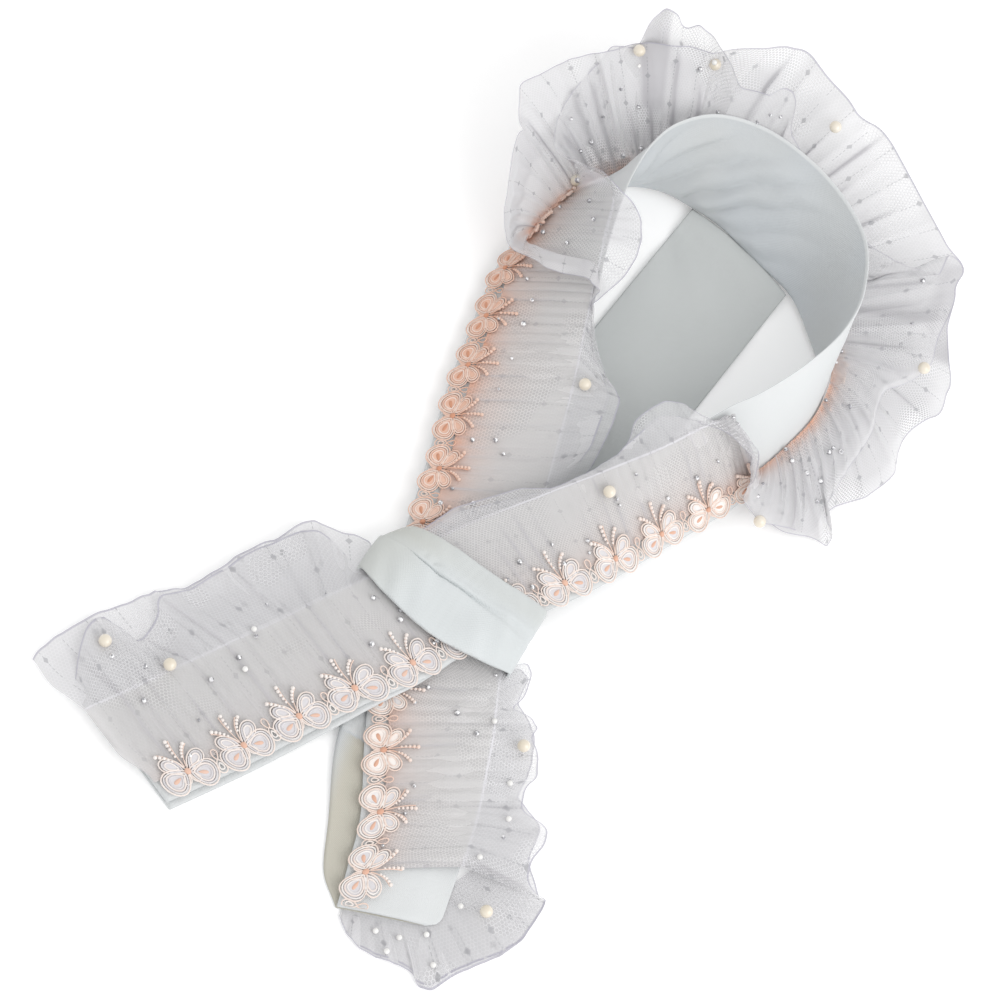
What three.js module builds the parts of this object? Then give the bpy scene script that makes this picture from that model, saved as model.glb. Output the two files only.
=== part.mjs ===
import * as THREE from "three";

// Millimetres. +Z is up from the table, +Y runs to the back of the neck, +X to the wearer's side
// on which the upper strand turns. The origin is on the table under the middle of the keeper loop.

const LEAF = 1.0; // wall of one leaf of the folded band
const CAMBER = 0.7; // rise of the outer leaf between neck fold and hem
const GATHER_LINE = 10; // ruffle seam to the hem
const TULLE = 1.0; // wall of the ruffle
const SEAM_LIFT = 0.45; // air between band and ruffle
const WAVE_PITCH = 24; // one large gather, measured along the hem
const WAVE_GROWTH = 1.3; // power with which a gather grows towards the free edge
const BEND_OUT = 7; // bow of the flaring ruffle away from the band
const BEND_UP = 7; // and upwards
const TURN_BULGE = 44; // extra bow where the ruffle turns from lying to flaring
const RUFFLE_ROWS = 5; // rows of points from the seam to the free edge
const RUFFLE_STEPS = 5; // points in one gather
const BAND_STEPS = 72; // sections along the band
const LACE_WALL = 1.0;
const LACE_OVERHANG = 2; // lace beyond the hem
const LACE_LIFT = 3; // hem to lace where the band stands up
const LACE_WIDTH = 20;
const LACE_AIR = 0.4; // air between lace and ruffle
const LACE_FOLD = 2.4; // how far the lace's bend keeps from the seam where the ruffle flares
const LACE_STANDOFF = 3; // start of the lace on the flaring ruffle, off the seam
const LACE_SQUEEZE = 0.15; // share of the lace's inner half that shows where the ruffle flares
const BOW_PITCH = 30; // one bow and its gap
const BOW_OUTER = [[-15, 3], [-8, 0], [0, 2.5], [8, 0], [15, 3]]; // along the hem, inward
const BOW_INNER = [[15, 15], [8, 18], [0, LACE_WIDTH], [-8, 18], [-15, 15]];
const LOOP_AT = [7.5, 9]; // middle of each of a bow's two open loops
const LOOP_SIZE = [4.2, 3.6];
const LOOP_SIDES = 6;
const PEARL_RADIUS = 3;
const PEARL_AIR = 0.5; // air between a pearl and the ruffle
const PANEL_WALL = 1.0;
const PANEL_HALF_WIDTH = 31;
const PANEL_SEAM_X = 8.5; // middle of the seam
const PANEL_END_X = -3; // middle of the loose end
const PANEL_END_Y = -84;
const PANEL_SEAM_Y = 259.8;
const PANEL_SEAM_SLANT = 0.12; // the seam follows the band's lower edge: slant and curve
const PANEL_SEAM_CURVE = 0.0035;
const PANEL_DIP_AT = 62; // the panel rises between the strands and the keeper up to here
const PANEL_DIP_RUN = 26;
const PANEL_DIP_RISE = 1.6;
const PANEL_FOLD_LENGTH = 19; // soft folds across the panel
const PANEL_FOLD_SLANT = 1.6;
const PANEL_FOLD_LOW = 0.5;
const PANEL_FOLD_HIGH = 1.3;
const PANEL_STEPS = 20;
const PANEL_COLUMNS = 3;
const KEEPER_LENGTH = 88; // across the strands
const KEEPER_WIDTH = 37; // along the strands
const KEEPER_INSIDE = 15.6; // clear height for the stack of strands
const KEEPER_BASE = 1.2; // wall on the table
const KEEPER_TOP = 2.0; // wall of the two bulging folds
const KEEPER_FOLD = 2.6; // bulge of each fold
const KEEPER_ENDS = 0.45; // power of the ring's round ends
const KEEPER_ROOF = 0.3; // power of its upper side
const KEEPER_FOOT = 0.12; // power of its flat underside
const KEEPER_WAIST = 0.12; // how much narrower the top is than the foot
const KEEPER_STEPS = 26;
const KEEPER_PROFILE = 9;
const KEEPER_TURN = 5; // degrees
const KEEPER_X = -2.5;
const KEEPER_Y = 5;

// One row per section, from the end of the upper tail, over the crossing, round the back of the
// neck, under the crossing and out to the end of the lower tail.
// neck: folded edge, hem: open edge, free: free edge of the ruffle, gap: air between the leaves,
// gape: how far the inner leaf shows past the hem, wave: gather height at the free edge,
// lie: 1 where the ruffle lies over the band, 0 where it stands off and flares out.
const COLUMNS = [
  "neckX", "neckY", "neckZ", "hemX", "hemY", "hemZ", "freeX", "freeY", "freeZ",
  "gap", "gape", "wave", "lie",
];
const SECTIONS = [
  [-99, -140, 2.1, -49, -156, 2.0, -133, -138, 2.6, 1.2, 3, 2.2, 1],
  [-81, -102, 2.3, -30, -117, 2.3, -119, -96, 3.0, 1.2, 3, 3.0, 1],
  [-62, -62, 4.6, -12, -77, 6.6, -96, -56, 4.0, 1.2, 3, 3.0, 1],
  [-52, -42, 8.2, -2, -58, 11.6, -84, -36, 6.0, 0.8, 2, 2.4, 1],
  [-44, -26, 10.6, 6, -43, 11.6, -67, -25, 9.6, 0.8, 1, 1.2, 1],
  [-38, -12, 10.9, 12, -29, 10.9, -37, -18, 13.4, 0.6, 0, 0.4, 1],
  [-33, 4, 10.9, 17, -14, 10.9, -37, 7, 12.8, 0.6, 0, 0.4, 1],
  [-17, 39, 11.4, 33, 24, 10.9, -27, 41, 14.2, 0.6, 0, 0.5, 1],
  [4, 74, 20, 48, 55, 9.6, -5, 76, 23, 1.0, 0, 2.0, 1],
  [27, 113, 32, 64, 101, 5, 13, 118, 42, 1.6, 0, 3.0, 1],
  [42, 144, 40, 77, 137, 4, 33, 149, 51, 1.8, 0, 3.0, 1],
  [48, 158, 43, 80, 155, 3.5, 82, 128, 52, 1.8, 0, 2.4, 0.5],
  [56, 173, 46, 83, 173, 3, 88, 130, 12, 1.8, 0, 3.0, 0],
  [65, 198, 50, 85, 203, 2.5, 118, 152, 8, 1.8, 0, 4.0, 0],
  [70, 226, 50, 77, 229, 2.5, 131, 200, 14, 1.8, 0, 4.0, 0],
  [67, 253, 48, 61, 244, 2.5, 127, 250, 30, 1.8, 0, 4.0, 0],
  [52, 281, 45, 43, 256, 2.5, 106, 289, 48, 1.8, 0, 4.0, 0],
  [22, 297, 43, 22, 260, 2.5, 56, 316, 60, 1.8, 0, 4.0, 0],
  [-12, 300, 42, -6, 264, 2.5, 2, 326, 66, 1.8, 0, 4.0, 0],
  [-38, 289, 43, -25, 263, 2.5, -42, 323, 68, 1.8, 0, 4.0, 0],
  [-52, 268, 46, -41, 260, 2.5, -77, 306, 68, 1.8, 0, 4.0, 0],
  [-56, 246, 49, -54, 252, 2.5, -93, 279, 60, 1.8, 0, 4.0, 0],
  [-54, 222, 50, -68, 236, 2.5, -109, 262, 46, 1.8, 0, 4.0, 0],
  [-49, 203, 48, -77, 211, 2.5, -122, 221, 26, 1.8, 0, 3.4, 0],
  [-43, 187, 43, -80, 185, 2.5, -82, 160, 58, 1.6, 0, 2.4, 0.5],
  [-37, 174, 38, -79, 164, 2.5, -25, 182, 50, 1.6, 0, 1.6, 1],
  [-30, 158, 32, -74, 141, 2.5, -25, 163, 37, 1.6, 0, 2.0, 1],
  [-15, 124, 20, -63, 96, 2.8, 5, 133, 25, 1.2, 0, 3.0, 1],
  [0, 85, 9, -48, 52, 4, 11, 92, 12, 0.8, 0, 0.8, 1],
  [14, 45, 4.5, -36, 14, 4.4, 22, 42, 6.6, 0.6, 0, 0.4, 1],
  [28, 10, 4.4, -20, -25, 4.4, 33, 7, 6.4, 0.6, 0, 0.4, 1],
  [33, -4, 4.4, -15, -40, 4.4, 37, -9, 6.2, 0.6, 3, 0.4, 1],
  [40, -20, 4.2, -8, -55, 4.2, 60, -20, 4.6, 0.8, 7, 1.2, 1],
  [50, -40, 3.6, 5, -78, 3.4, 75, -40, 3.6, 1.0, 13, 2.6, 1],
  [63, -71, 2.4, 22, -106, 2.4, 93, -58, 3.2, 1.2, 14, 3.0, 1],
  [71, -96, 2.1, 31, -130, 2.1, 108, -88, 3.0, 1.2, 10, 3.0, 1],
  [79, -126, 2.0, 37, -147, 2.0, 96, -148, 2.6, 1.2, 0, 2.2, 1],
];

// Beads of the ruffle. at: row of the table above, across: 0 at the seam, 1 at the free edge,
// side: 1 on the outward side of the tulle, -1 on the side turned to the neck.
const PEARL_COLUMNS = ["at", "across", "side"];
const PEARLS = [
  [0.9, 0.55, 1],
  [0.6, 0.85, 1],
  [8.5, 0.55, 1],
  [12.0, 0.9, -1],
  [15.0, 0.75, -1],
  [17.8, 0.8, -1],
  [19.5, 0.7, -1],
  [20.9, 0.9, -1],
  [22.5, 0.08, -1],
  [26.9, 0.75, 1],
  [32.7, 0.88, 1],
  [35.4, 0.8, 1],
];

const group = new THREE.Group();
group.name = "lace_collar";

const cloth = new THREE.MeshStandardMaterial({ name: "white_cotton", color: 0xdfe6e6, roughness: 0.85 });
const tulle = new THREE.MeshStandardMaterial({ name: "white_tulle", color: 0xe4e4ea, roughness: 0.8 });
const lace = new THREE.MeshStandardMaterial({ name: "peach_lace", color: 0xeccdbb, roughness: 0.75 });
const pearl = new THREE.MeshStandardMaterial({ name: "cream_pearl", color: 0xf0e6d6, roughness: 0.25 });

function addMesh(name, geometry, material) {
  const mesh = new THREE.Mesh(geometry, material);
  mesh.name = name;
  group.add(mesh);
}

function geometryFrom(points, triangles) {
  const geometry = new THREE.BufferGeometry();
  const flat = [];
  for (const p of points) {
    flat.push(p.x, p.y, p.z);
  }
  geometry.setAttribute("position", new THREE.Float32BufferAttribute(flat, 3));
  geometry.setIndex(triangles);
  geometry.computeVertexNormals();
  return geometry;
}

// Smooth value of every column at a place u between 0 and the last row.
function sectionAt(u) {
  const last = SECTIONS.length - 1;
  const clamped = Math.min(Math.max(u, 0), last);
  const i = Math.min(Math.floor(clamped), last - 1);
  const t = clamped - i;
  const row = {};
  COLUMNS.forEach((column, c) => {
    const b = SECTIONS[i][c];
    const e = SECTIONS[i + 1][c];
    const a = i > 0 ? SECTIONS[i - 1][c] : 2 * b - e;
    const f = i + 2 <= last ? SECTIONS[i + 2][c] : 2 * e - b;
    const slopeB = (e - a) / 2;
    const slopeE = (f - b) / 2;
    const t2 = t * t;
    const t3 = t2 * t;
    row[column] = (2 * t3 - 3 * t2 + 1) * b + (t3 - 2 * t2 + t) * slopeB
      + (3 * t2 - 2 * t3) * e + (t3 - t2) * slopeE;
  });
  row.lie = Math.min(Math.max(row.lie, 0), 1);
  row.gape = Math.max(row.gape, 0);
  return row;
}

// Frame of the band at u: neck and hem points, width, direction neck to hem, outward face normal.
function frameAt(u) {
  const row = sectionAt(u);
  const neck = new THREE.Vector3(row.neckX, row.neckY, row.neckZ);
  const hem = new THREE.Vector3(row.hemX, row.hemY, row.hemZ);
  const free = new THREE.Vector3(row.freeX, row.freeY, row.freeZ);
  const before = sectionAt(u - 0.15);
  const after = sectionAt(u + 0.15);
  const travel = new THREE.Vector3(
    after.neckX + after.hemX - before.neckX - before.hemX,
    after.neckY + after.hemY - before.neckY - before.hemY,
    after.neckZ + after.hemZ - before.neckZ - before.hemZ,
  ).normalize();
  const down = hem.clone().sub(neck);
  const width = down.length();
  down.normalize();
  const out = down.clone().cross(travel).normalize();
  return { row, neck, hem, free, width, down, out, half: row.gap / 2 + LEAF };
}

function alongFace(frame, a, b) {
  return frame.neck.clone().addScaledVector(frame.down, a).addScaledVector(frame.out, b);
}

function camberAt(frame, a) {
  const share = Math.min(Math.max(a / frame.width, 0), 1);
  return CAMBER * Math.min(frame.row.gap / 1.2, 1) * Math.sin(Math.PI * share);
}

// Hairpin outline of the folded band as [a, b] pairs: a from the neck fold, b off the middle.
function bandOutline(frame) {
  const outer = frame.half;
  const inner = frame.row.gap / 2;
  const width = frame.width;
  const innerWidth = width + frame.row.gape;
  const outline = [];
  for (const share of [1, 0.75, 0.5, 0.25]) {
    outline.push([width * share, outer + camberAt(frame, width * share)]);
  }
  for (const angle of [90, 135, 180, 225, 270]) {
    const turn = THREE.MathUtils.degToRad(angle);
    outline.push([outer + outer * Math.cos(turn), outer * Math.sin(turn)]);
  }
  for (const share of [0.5, 1]) {
    outline.push([innerWidth * share, -outer]);
  }
  for (const share of [1, 0.5]) {
    outline.push([innerWidth * share, -inner]);
  }
  for (const angle of [250, 180, 110]) {
    const turn = THREE.MathUtils.degToRad(angle);
    outline.push([outer + inner * Math.cos(turn), inner * Math.sin(turn)]);
  }
  for (const share of [0.25, 0.5, 0.75, 1]) {
    outline.push([width * share, inner + camberAt(frame, width * share)]);
  }
  return outline;
}

function bandGeometry() {
  const points = [];
  const triangles = [];
  const last = SECTIONS.length - 1;
  let count = 0;
  let firstOutline = null;
  let lastOutline = null;
  for (let k = 0; k <= BAND_STEPS; k += 1) {
    const frame = frameAt(last * k / BAND_STEPS);
    const outline = bandOutline(frame);
    count = outline.length;
    firstOutline = firstOutline || outline;
    lastOutline = outline;
    for (const [a, b] of outline) {
      points.push(alongFace(frame, a, b));
    }
  }
  for (let k = 0; k < BAND_STEPS; k += 1) {
    for (let i = 0; i < count; i += 1) {
      const j = (i + 1) % count;
      const p = k * count + i;
      const q = k * count + j;
      triangles.push(p, p + count, q, q, p + count, q + count);
    }
  }
  closeEnd(firstOutline, 0, triangles, false);
  closeEnd(lastOutline, BAND_STEPS * count, triangles, true);
  return geometryFrom(points, triangles);
}

function closeEnd(outline, offset, triangles, flip) {
  const flat = outline.map(([a, b]) => new THREE.Vector2(a, b));
  const faces = THREE.ShapeUtils.triangulateShape(flat, []);
  for (const [a, b, c] of faces) {
    if (flip) {
      triangles.push(offset + a, offset + c, offset + b);
    } else {
      triangles.push(offset + a, offset + b, offset + c);
    }
  }
}

// Length along the hem up to each place, used to space the gathers and the bows evenly.
const HEM_SAMPLES = 600;
const hemLengths = [0];
for (let k = 1; k <= HEM_SAMPLES; k += 1) {
  const a = sectionAt((SECTIONS.length - 1) * (k - 1) / HEM_SAMPLES);
  const b = sectionAt((SECTIONS.length - 1) * k / HEM_SAMPLES);
  const step = Math.hypot(b.hemX - a.hemX, b.hemY - a.hemY, b.hemZ - a.hemZ);
  hemLengths.push(hemLengths[k - 1] + step);
}
const HEM_LENGTH = hemLengths[HEM_SAMPLES];

function placeAtLength(length) {
  let k = 1;
  while (k < HEM_SAMPLES && hemLengths[k] < length) {
    k += 1;
  }
  const share = (length - hemLengths[k - 1]) / (hemLengths[k] - hemLengths[k - 1]);
  return (SECTIONS.length - 1) * (k - 1 + Math.min(Math.max(share, 0), 1)) / HEM_SAMPLES;
}

function lengthAtPlace(u) {
  const k = u / (SECTIONS.length - 1) * HEM_SAMPLES;
  const i = Math.min(Math.max(Math.floor(k), 0), HEM_SAMPLES - 1);
  return hemLengths[i] + (hemLengths[i + 1] - hemLengths[i]) * (k - i);
}

// Ruffle without its gathers: over the face to the neck fold and on, or standing off and out.
function ruffleCentre(u, v) {
  const frame = frameAt(u);
  const rise = frame.half + SEAM_LIFT + TULLE / 2;
  const seamA = frame.width - GATHER_LINE;
  const overNeck = alongFace(frame, 0, rise + 0.3);
  const beyond = frame.free.clone().sub(overNeck).length();
  const total = seamA + beyond;
  const travelled = v * total;
  const lying = new THREE.Vector3();
  if (travelled <= seamA) {
    const a = seamA - travelled;
    lying.copy(alongFace(frame, a, rise + 0.3 * v + camberAt(frame, a)));
  } else {
    lying.copy(overNeck).lerp(frame.free, (travelled - seamA) / Math.max(beyond, 0.001));
  }
  const seam = alongFace(frame, seamA, rise + camberAt(frame, seamA));
  const bend = seam.clone().add(frame.free).multiplyScalar(0.5);
  bend.addScaledVector(frame.out, BEND_OUT + TURN_BULGE * frame.row.lie * (1 - frame.row.lie));
  bend.z += BEND_UP;
  const flaring = seam.clone().multiplyScalar((1 - v) * (1 - v));
  flaring.addScaledVector(bend, 2 * v * (1 - v));
  flaring.addScaledVector(frame.free, v * v);
  return flaring.lerp(lying, frame.row.lie);
}

// Side of the ruffle that faces away from the band.
function ruffleOut(u, v) {
  const alongStep = ruffleCentre(u + 0.05, v).sub(ruffleCentre(u - 0.05, v));
  const acrossStep = ruffleCentre(u, Math.min(v + 0.04, 1)).sub(ruffleCentre(u, Math.max(v - 0.04, 0)));
  return alongStep.cross(acrossStep).normalize();
}

function rufflePoint(u, v) {
  const gather = 2 * Math.PI * lengthAtPlace(u) / WAVE_PITCH;
  const height = sectionAt(u).wave * Math.pow(v, WAVE_GROWTH) * (0.5 - 0.5 * Math.cos(gather));
  return ruffleCentre(u, v).addScaledVector(ruffleOut(u, v), height);
}

// Closed sheet of one wall over a grid of middle points.
function sheetGeometry(rows, wall) {
  const height = rows.length;
  const width = rows[0].length;
  const upper = [];
  const lower = [];
  for (let i = 0; i < height; i += 1) {
    for (let j = 0; j < width; j += 1) {
      const along = rows[Math.min(i + 1, height - 1)][j].clone().sub(rows[Math.max(i - 1, 0)][j]);
      const across = rows[i][Math.min(j + 1, width - 1)].clone().sub(rows[i][Math.max(j - 1, 0)]);
      const normal = along.cross(across).normalize();
      upper.push(rows[i][j].clone().addScaledVector(normal, wall / 2));
      lower.push(rows[i][j].clone().addScaledVector(normal, -wall / 2));
    }
  }
  const points = upper.concat(lower);
  const shift = upper.length;
  const triangles = [];
  for (let i = 0; i < height - 1; i += 1) {
    for (let j = 0; j < width - 1; j += 1) {
      const p = i * width + j;
      triangles.push(p, p + width, p + 1, p + 1, p + width, p + width + 1);
      const q = p + shift;
      triangles.push(q, q + 1, q + width, q + 1, q + width + 1, q + width);
    }
  }
  const rim = [];
  for (let i = 0; i < height - 1; i += 1) {
    rim.push(i * width);
  }
  for (let j = 0; j < width - 1; j += 1) {
    rim.push((height - 1) * width + j);
  }
  for (let i = height - 1; i > 0; i -= 1) {
    rim.push(i * width + width - 1);
  }
  for (let j = width - 1; j > 0; j -= 1) {
    rim.push(j);
  }
  rim.forEach((p, k) => {
    const q = rim[(k + 1) % rim.length];
    triangles.push(p, p + shift, q, q, p + shift, q + shift);
  });
  return geometryFrom(points, triangles);
}

function ruffleGeometry() {
  const steps = Math.round(HEM_LENGTH / WAVE_PITCH * RUFFLE_STEPS);
  const rows = [];
  for (let k = 0; k <= steps; k += 1) {
    const u = placeAtLength(HEM_LENGTH * k / steps);
    const row = [];
    for (let j = 0; j < RUFFLE_ROWS; j += 1) {
      row.push(rufflePoint(u, j / (RUFFLE_ROWS - 1)));
    }
    rows.push(row);
  }
  return sheetGeometry(rows, TULLE);
}

// Middle of the lace at a length along the hem and a distance q inward from its outer edge.
function lacePoint(length, q) {
  const u = placeAtLength(length);
  const frame = frameAt(u);
  const rise = frame.half + SEAM_LIFT + TULLE + LACE_AIR + LACE_WALL / 2;
  const flatPart = GATHER_LINE + LACE_OVERHANG;
  const foldA = frame.width - GATHER_LINE + LACE_FOLD * (1 - frame.row.lie);
  if (q <= flatPart) {
    const tilt = 1 + Math.min(frame.down.z, 0);
    const overhang = LACE_OVERHANG * frame.row.lie * tilt - LACE_LIFT * (1 - frame.row.lie);
    const startA = frame.width + overhang;
    const a = startA + (foldA - startA) * q / flatPart;
    return alongFace(frame, a, rise + camberAt(frame, a));
  }
  const reach = frame.free.distanceTo(alongFace(frame, frame.width - GATHER_LINE, 0));
  const lie = frame.row.lie;
  const spread = (q - flatPart) * (LACE_SQUEEZE + (1 - LACE_SQUEEZE) * Math.pow(lie, 4));
  const v = (spread + LACE_STANDOFF * (1 - lie)) / reach;
  const lift = TULLE / 2 + LACE_AIR + LACE_WALL / 2 + 0.6 * (1 - lie) + 3 * lie * (1 - lie);
  return rufflePoint(u, v).addScaledVector(ruffleOut(u, Math.max(v, 0.05)), lift);
}

// One bow of the lace in flat measure: outline with a scalloped outer and inner edge, two loops.
function bowOutline() {
  return BOW_OUTER.concat(BOW_INNER).map(([s, q]) => new THREE.Vector2(s, q));
}

function bowLoops() {
  const loops = [];
  for (const side of [-1, 1]) {
    const loop = [];
    for (let k = 0; k < LOOP_SIDES; k += 1) {
      const turn = -2 * Math.PI * k / LOOP_SIDES;
      const s = side * LOOP_AT[0] + LOOP_SIZE[0] * Math.cos(turn);
      loop.push(new THREE.Vector2(s, LOOP_AT[1] + LOOP_SIZE[1] * Math.sin(turn)));
    }
    loops.push(loop);
  }
  return loops;
}

function laceGeometry() {
  const bows = Math.floor(HEM_LENGTH / BOW_PITCH);
  const start = (HEM_LENGTH - bows * BOW_PITCH) / 2;
  const outline = bowOutline();
  const loops = bowLoops();
  const faces = THREE.ShapeUtils.triangulateShape(outline, loops);
  const flat = outline.concat(...loops);
  const points = [];
  const triangles = [];
  for (let n = 0; n < bows; n += 1) {
    const middle = start + BOW_PITCH * (n + 0.5);
    const offset = points.length;
    for (const sideSign of [1, -1]) {
      for (const p of flat) {
        const length = middle + p.x;
        const before = lacePoint(Math.max(length - 1.5, 0), p.y);
        const after = lacePoint(Math.min(length + 1.5, HEM_LENGTH), p.y);
        const inward = lacePoint(length, Math.min(p.y + 1.5, LACE_WIDTH + 1));
        const outward = lacePoint(length, Math.max(p.y - 1.5, -1));
        const normal = after.sub(before).cross(inward.sub(outward)).normalize();
        points.push(lacePoint(length, p.y).addScaledVector(normal, sideSign * LACE_WALL / 2));
      }
    }
    const shift = flat.length;
    for (const [a, b, c] of faces) {
      triangles.push(offset + a, offset + b, offset + c);
      triangles.push(offset + shift + a, offset + shift + c, offset + shift + b);
    }
    for (let i = 0; i < outline.length; i += 1) {
      const j = (i + 1) % outline.length;
      const toNext = i === BOW_OUTER.length - 1 && n < bows - 1;
      const toLast = i === outline.length - 1 && n > 0;
      const joins = toNext || toLast;
      if (!joins) {
        addWall(triangles, offset + i, offset + j, shift);
      }
    }
    let base = outline.length;
    for (const loop of loops) {
      for (let i = 0; i < loop.length; i += 1) {
        addWall(triangles, offset + base + i, offset + base + (i + 1) % loop.length, shift);
      }
      base += loop.length;
    }
  }
  return geometryFrom(points, triangles);
}

function addWall(triangles, p, q, shift) {
  triangles.push(p, p + shift, q, q, p + shift, q + shift);
}

function panelGeometry() {
  const rows = [];
  for (let k = 0; k <= PANEL_STEPS; k += 1) {
    const share = k / PANEL_STEPS;
    const row = [];
    for (let j = 0; j <= PANEL_COLUMNS; j += 1) {
      const off = (2 * j / PANEL_COLUMNS - 1) * PANEL_HALF_WIDTH;
      const x = PANEL_END_X + (PANEL_SEAM_X - PANEL_END_X) * share + off;
      const seamY = PANEL_SEAM_Y - PANEL_SEAM_SLANT * off - PANEL_SEAM_CURVE * off * off;
      const y = PANEL_END_Y + (seamY - PANEL_END_Y) * share;
      const fromDip = PANEL_DIP_AT - Math.abs(y);
      const raised = PANEL_DIP_RISE * THREE.MathUtils.smoothstep(fromDip, 0, PANEL_DIP_RUN);
      const soft = PANEL_FOLD_LOW + PANEL_FOLD_HIGH * THREE.MathUtils.smoothstep(y, 70, 200);
      const turn = y / PANEL_FOLD_LENGTH + off / PANEL_HALF_WIDTH * PANEL_FOLD_SLANT;
      const fold = soft * (0.5 + 0.5 * Math.sin(turn)) * THREE.MathUtils.smoothstep(y, 60, 90);
      const z = PANEL_WALL / 2 + raised + fold;
      row.push(new THREE.Vector3(x, y, z));
    }
    rows.push(row);
  }
  return sheetGeometry(rows, PANEL_WALL);
}

// Flattened ring round the stack of strands, with two soft folds and a slit on its upper side.
function keeperGeometry() {
  const halfLength = KEEPER_LENGTH / 2;
  const halfWidth = KEEPER_WIDTH / 2;
  const innerLow = KEEPER_BASE;
  const innerHigh = KEEPER_BASE + KEEPER_INSIDE;
  const middle = (innerLow + innerHigh) / 2;
  const turn = THREE.MathUtils.degToRad(KEEPER_TURN);
  const points = [];
  for (let k = 0; k < KEEPER_STEPS; k += 1) {
    const angle = 2 * Math.PI * k / KEEPER_STEPS;
    const c = Math.cos(angle);
    const s = Math.sin(angle);
    const upper = THREE.MathUtils.smoothstep(s, -0.25, 0.35);
    const boxed = Math.pow(Math.abs(c), KEEPER_ENDS) * Math.sign(c);
    const raised = Math.pow(Math.abs(s), s > 0 ? KEEPER_ROOF : KEEPER_FOOT) * Math.sign(s);
    const innerX = boxed * (halfLength - KEEPER_TOP);
    const innerZ = middle + raised * (innerHigh - middle);
    const ring = [[-1, 0], [1, 0]];
    for (let j = 0; j < KEEPER_PROFILE; j += 1) {
      ring.push([1 - 2 * j / (KEEPER_PROFILE - 1), 1]);
    }
    for (const [side, outside] of ring) {
      const fold = Math.abs(Math.sin(Math.PI * side));
      const wall = outside * (KEEPER_BASE + upper * (KEEPER_TOP - KEEPER_BASE + KEEPER_FOLD * fold));
      const x = innerX + c * wall;
      const z = Math.max(innerZ + s * wall, innerLow - outside * KEEPER_BASE);
      const y = side * halfWidth * (1 - KEEPER_WAIST * upper * s);
      points.push(new THREE.Vector3(
        KEEPER_X + x * Math.cos(turn) - y * Math.sin(turn),
        KEEPER_Y + x * Math.sin(turn) + y * Math.cos(turn),
        z,
      ));
    }
  }
  const count = KEEPER_PROFILE + 2;
  const triangles = [];
  for (let k = 0; k < KEEPER_STEPS; k += 1) {
    const next = (k + 1) % KEEPER_STEPS;
    for (let i = 0; i < count; i += 1) {
      const j = (i + 1) % count;
      const p = k * count;
      const q = next * count;
      triangles.push(p + i, q + i, p + j, p + j, q + i, q + j);
    }
  }
  return geometryFrom(points, triangles);
}

function pearlGeometry(at, across, side) {
  const geometry = new THREE.SphereGeometry(PEARL_RADIUS, 10, 6);
  const middle = rufflePoint(at, across);
  middle.addScaledVector(ruffleOut(at, across), side * (TULLE / 2 + PEARL_AIR + PEARL_RADIUS));
  geometry.translate(middle.x, middle.y, middle.z);
  return geometry;
}

addMesh("collar_band", bandGeometry(), cloth);
addMesh("back_panel", panelGeometry(), cloth);
addMesh("keeper_loop", keeperGeometry(), cloth);
addMesh("tulle_ruffle", ruffleGeometry(), tulle);
addMesh("bow_lace", laceGeometry(), lace);
PEARLS.forEach((row, index) => {
  const at = row[PEARL_COLUMNS.indexOf("at")];
  const across = row[PEARL_COLUMNS.indexOf("across")];
  const side = row[PEARL_COLUMNS.indexOf("side")];
  addMesh(`pearl_${String(index + 1).padStart(2, "0")}`, pearlGeometry(at, across, side), pearl);
});

export default group;
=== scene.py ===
"""A detachable kimono collar of white cotton with a tulle ruffle, bow lace and pearls."""

import math

import bmesh
import bpy
import numpy as np
from mathutils import Matrix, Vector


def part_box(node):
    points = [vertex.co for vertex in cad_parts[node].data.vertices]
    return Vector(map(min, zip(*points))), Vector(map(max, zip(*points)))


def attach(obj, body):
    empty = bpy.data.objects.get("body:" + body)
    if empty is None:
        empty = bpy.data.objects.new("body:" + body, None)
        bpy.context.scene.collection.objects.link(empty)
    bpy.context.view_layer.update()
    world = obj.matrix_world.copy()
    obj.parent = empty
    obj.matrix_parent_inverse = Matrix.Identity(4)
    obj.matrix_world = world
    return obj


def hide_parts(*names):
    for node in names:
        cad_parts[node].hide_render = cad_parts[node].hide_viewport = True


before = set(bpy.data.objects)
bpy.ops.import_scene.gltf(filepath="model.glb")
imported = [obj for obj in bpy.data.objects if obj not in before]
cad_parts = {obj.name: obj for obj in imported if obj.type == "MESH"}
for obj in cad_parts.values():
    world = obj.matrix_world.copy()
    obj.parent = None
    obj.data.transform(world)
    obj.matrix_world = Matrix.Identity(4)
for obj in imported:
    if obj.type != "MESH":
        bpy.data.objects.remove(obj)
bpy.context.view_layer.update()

MM = 0.001

# Driving sizes of the sewn pieces, in millimetres as a maker would give them
LEAF = 1.0
CAMBER = 0.7
GATHER_LINE = 10.0
SEAM_LIFT = 0.45
END_ROUND = 6.0
RUFFLE_WIDTH = 70.0
BOW_PITCH = 29.0
KNOT = 8.2
PEARL = 3.0
PANEL_HALF_WIDTH = 31.0
PANEL_SEAM_X = 8.5
PANEL_END_X = -3.0
PANEL_END_Y = -76.0
PANEL_SEAM_Y = 259.8
KEEPER_WIDTH = 37.0
KEEPER_INSIDE = 15.6
KEEPER_BASE = 1.2
KEEPER_X = -2.5
KEEPER_Y = 5.0
KEEPER_TURN = math.radians(5)

# Ends of the keeper's opening along its length, at its lower and its upper edge, and how far its
# left end swells out between them
KEEPER_LEFT = (-43.2, -34.0)
KEEPER_RIGHT = (39.0, 39.4)
KEEPER_BULGE = 3.0

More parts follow.
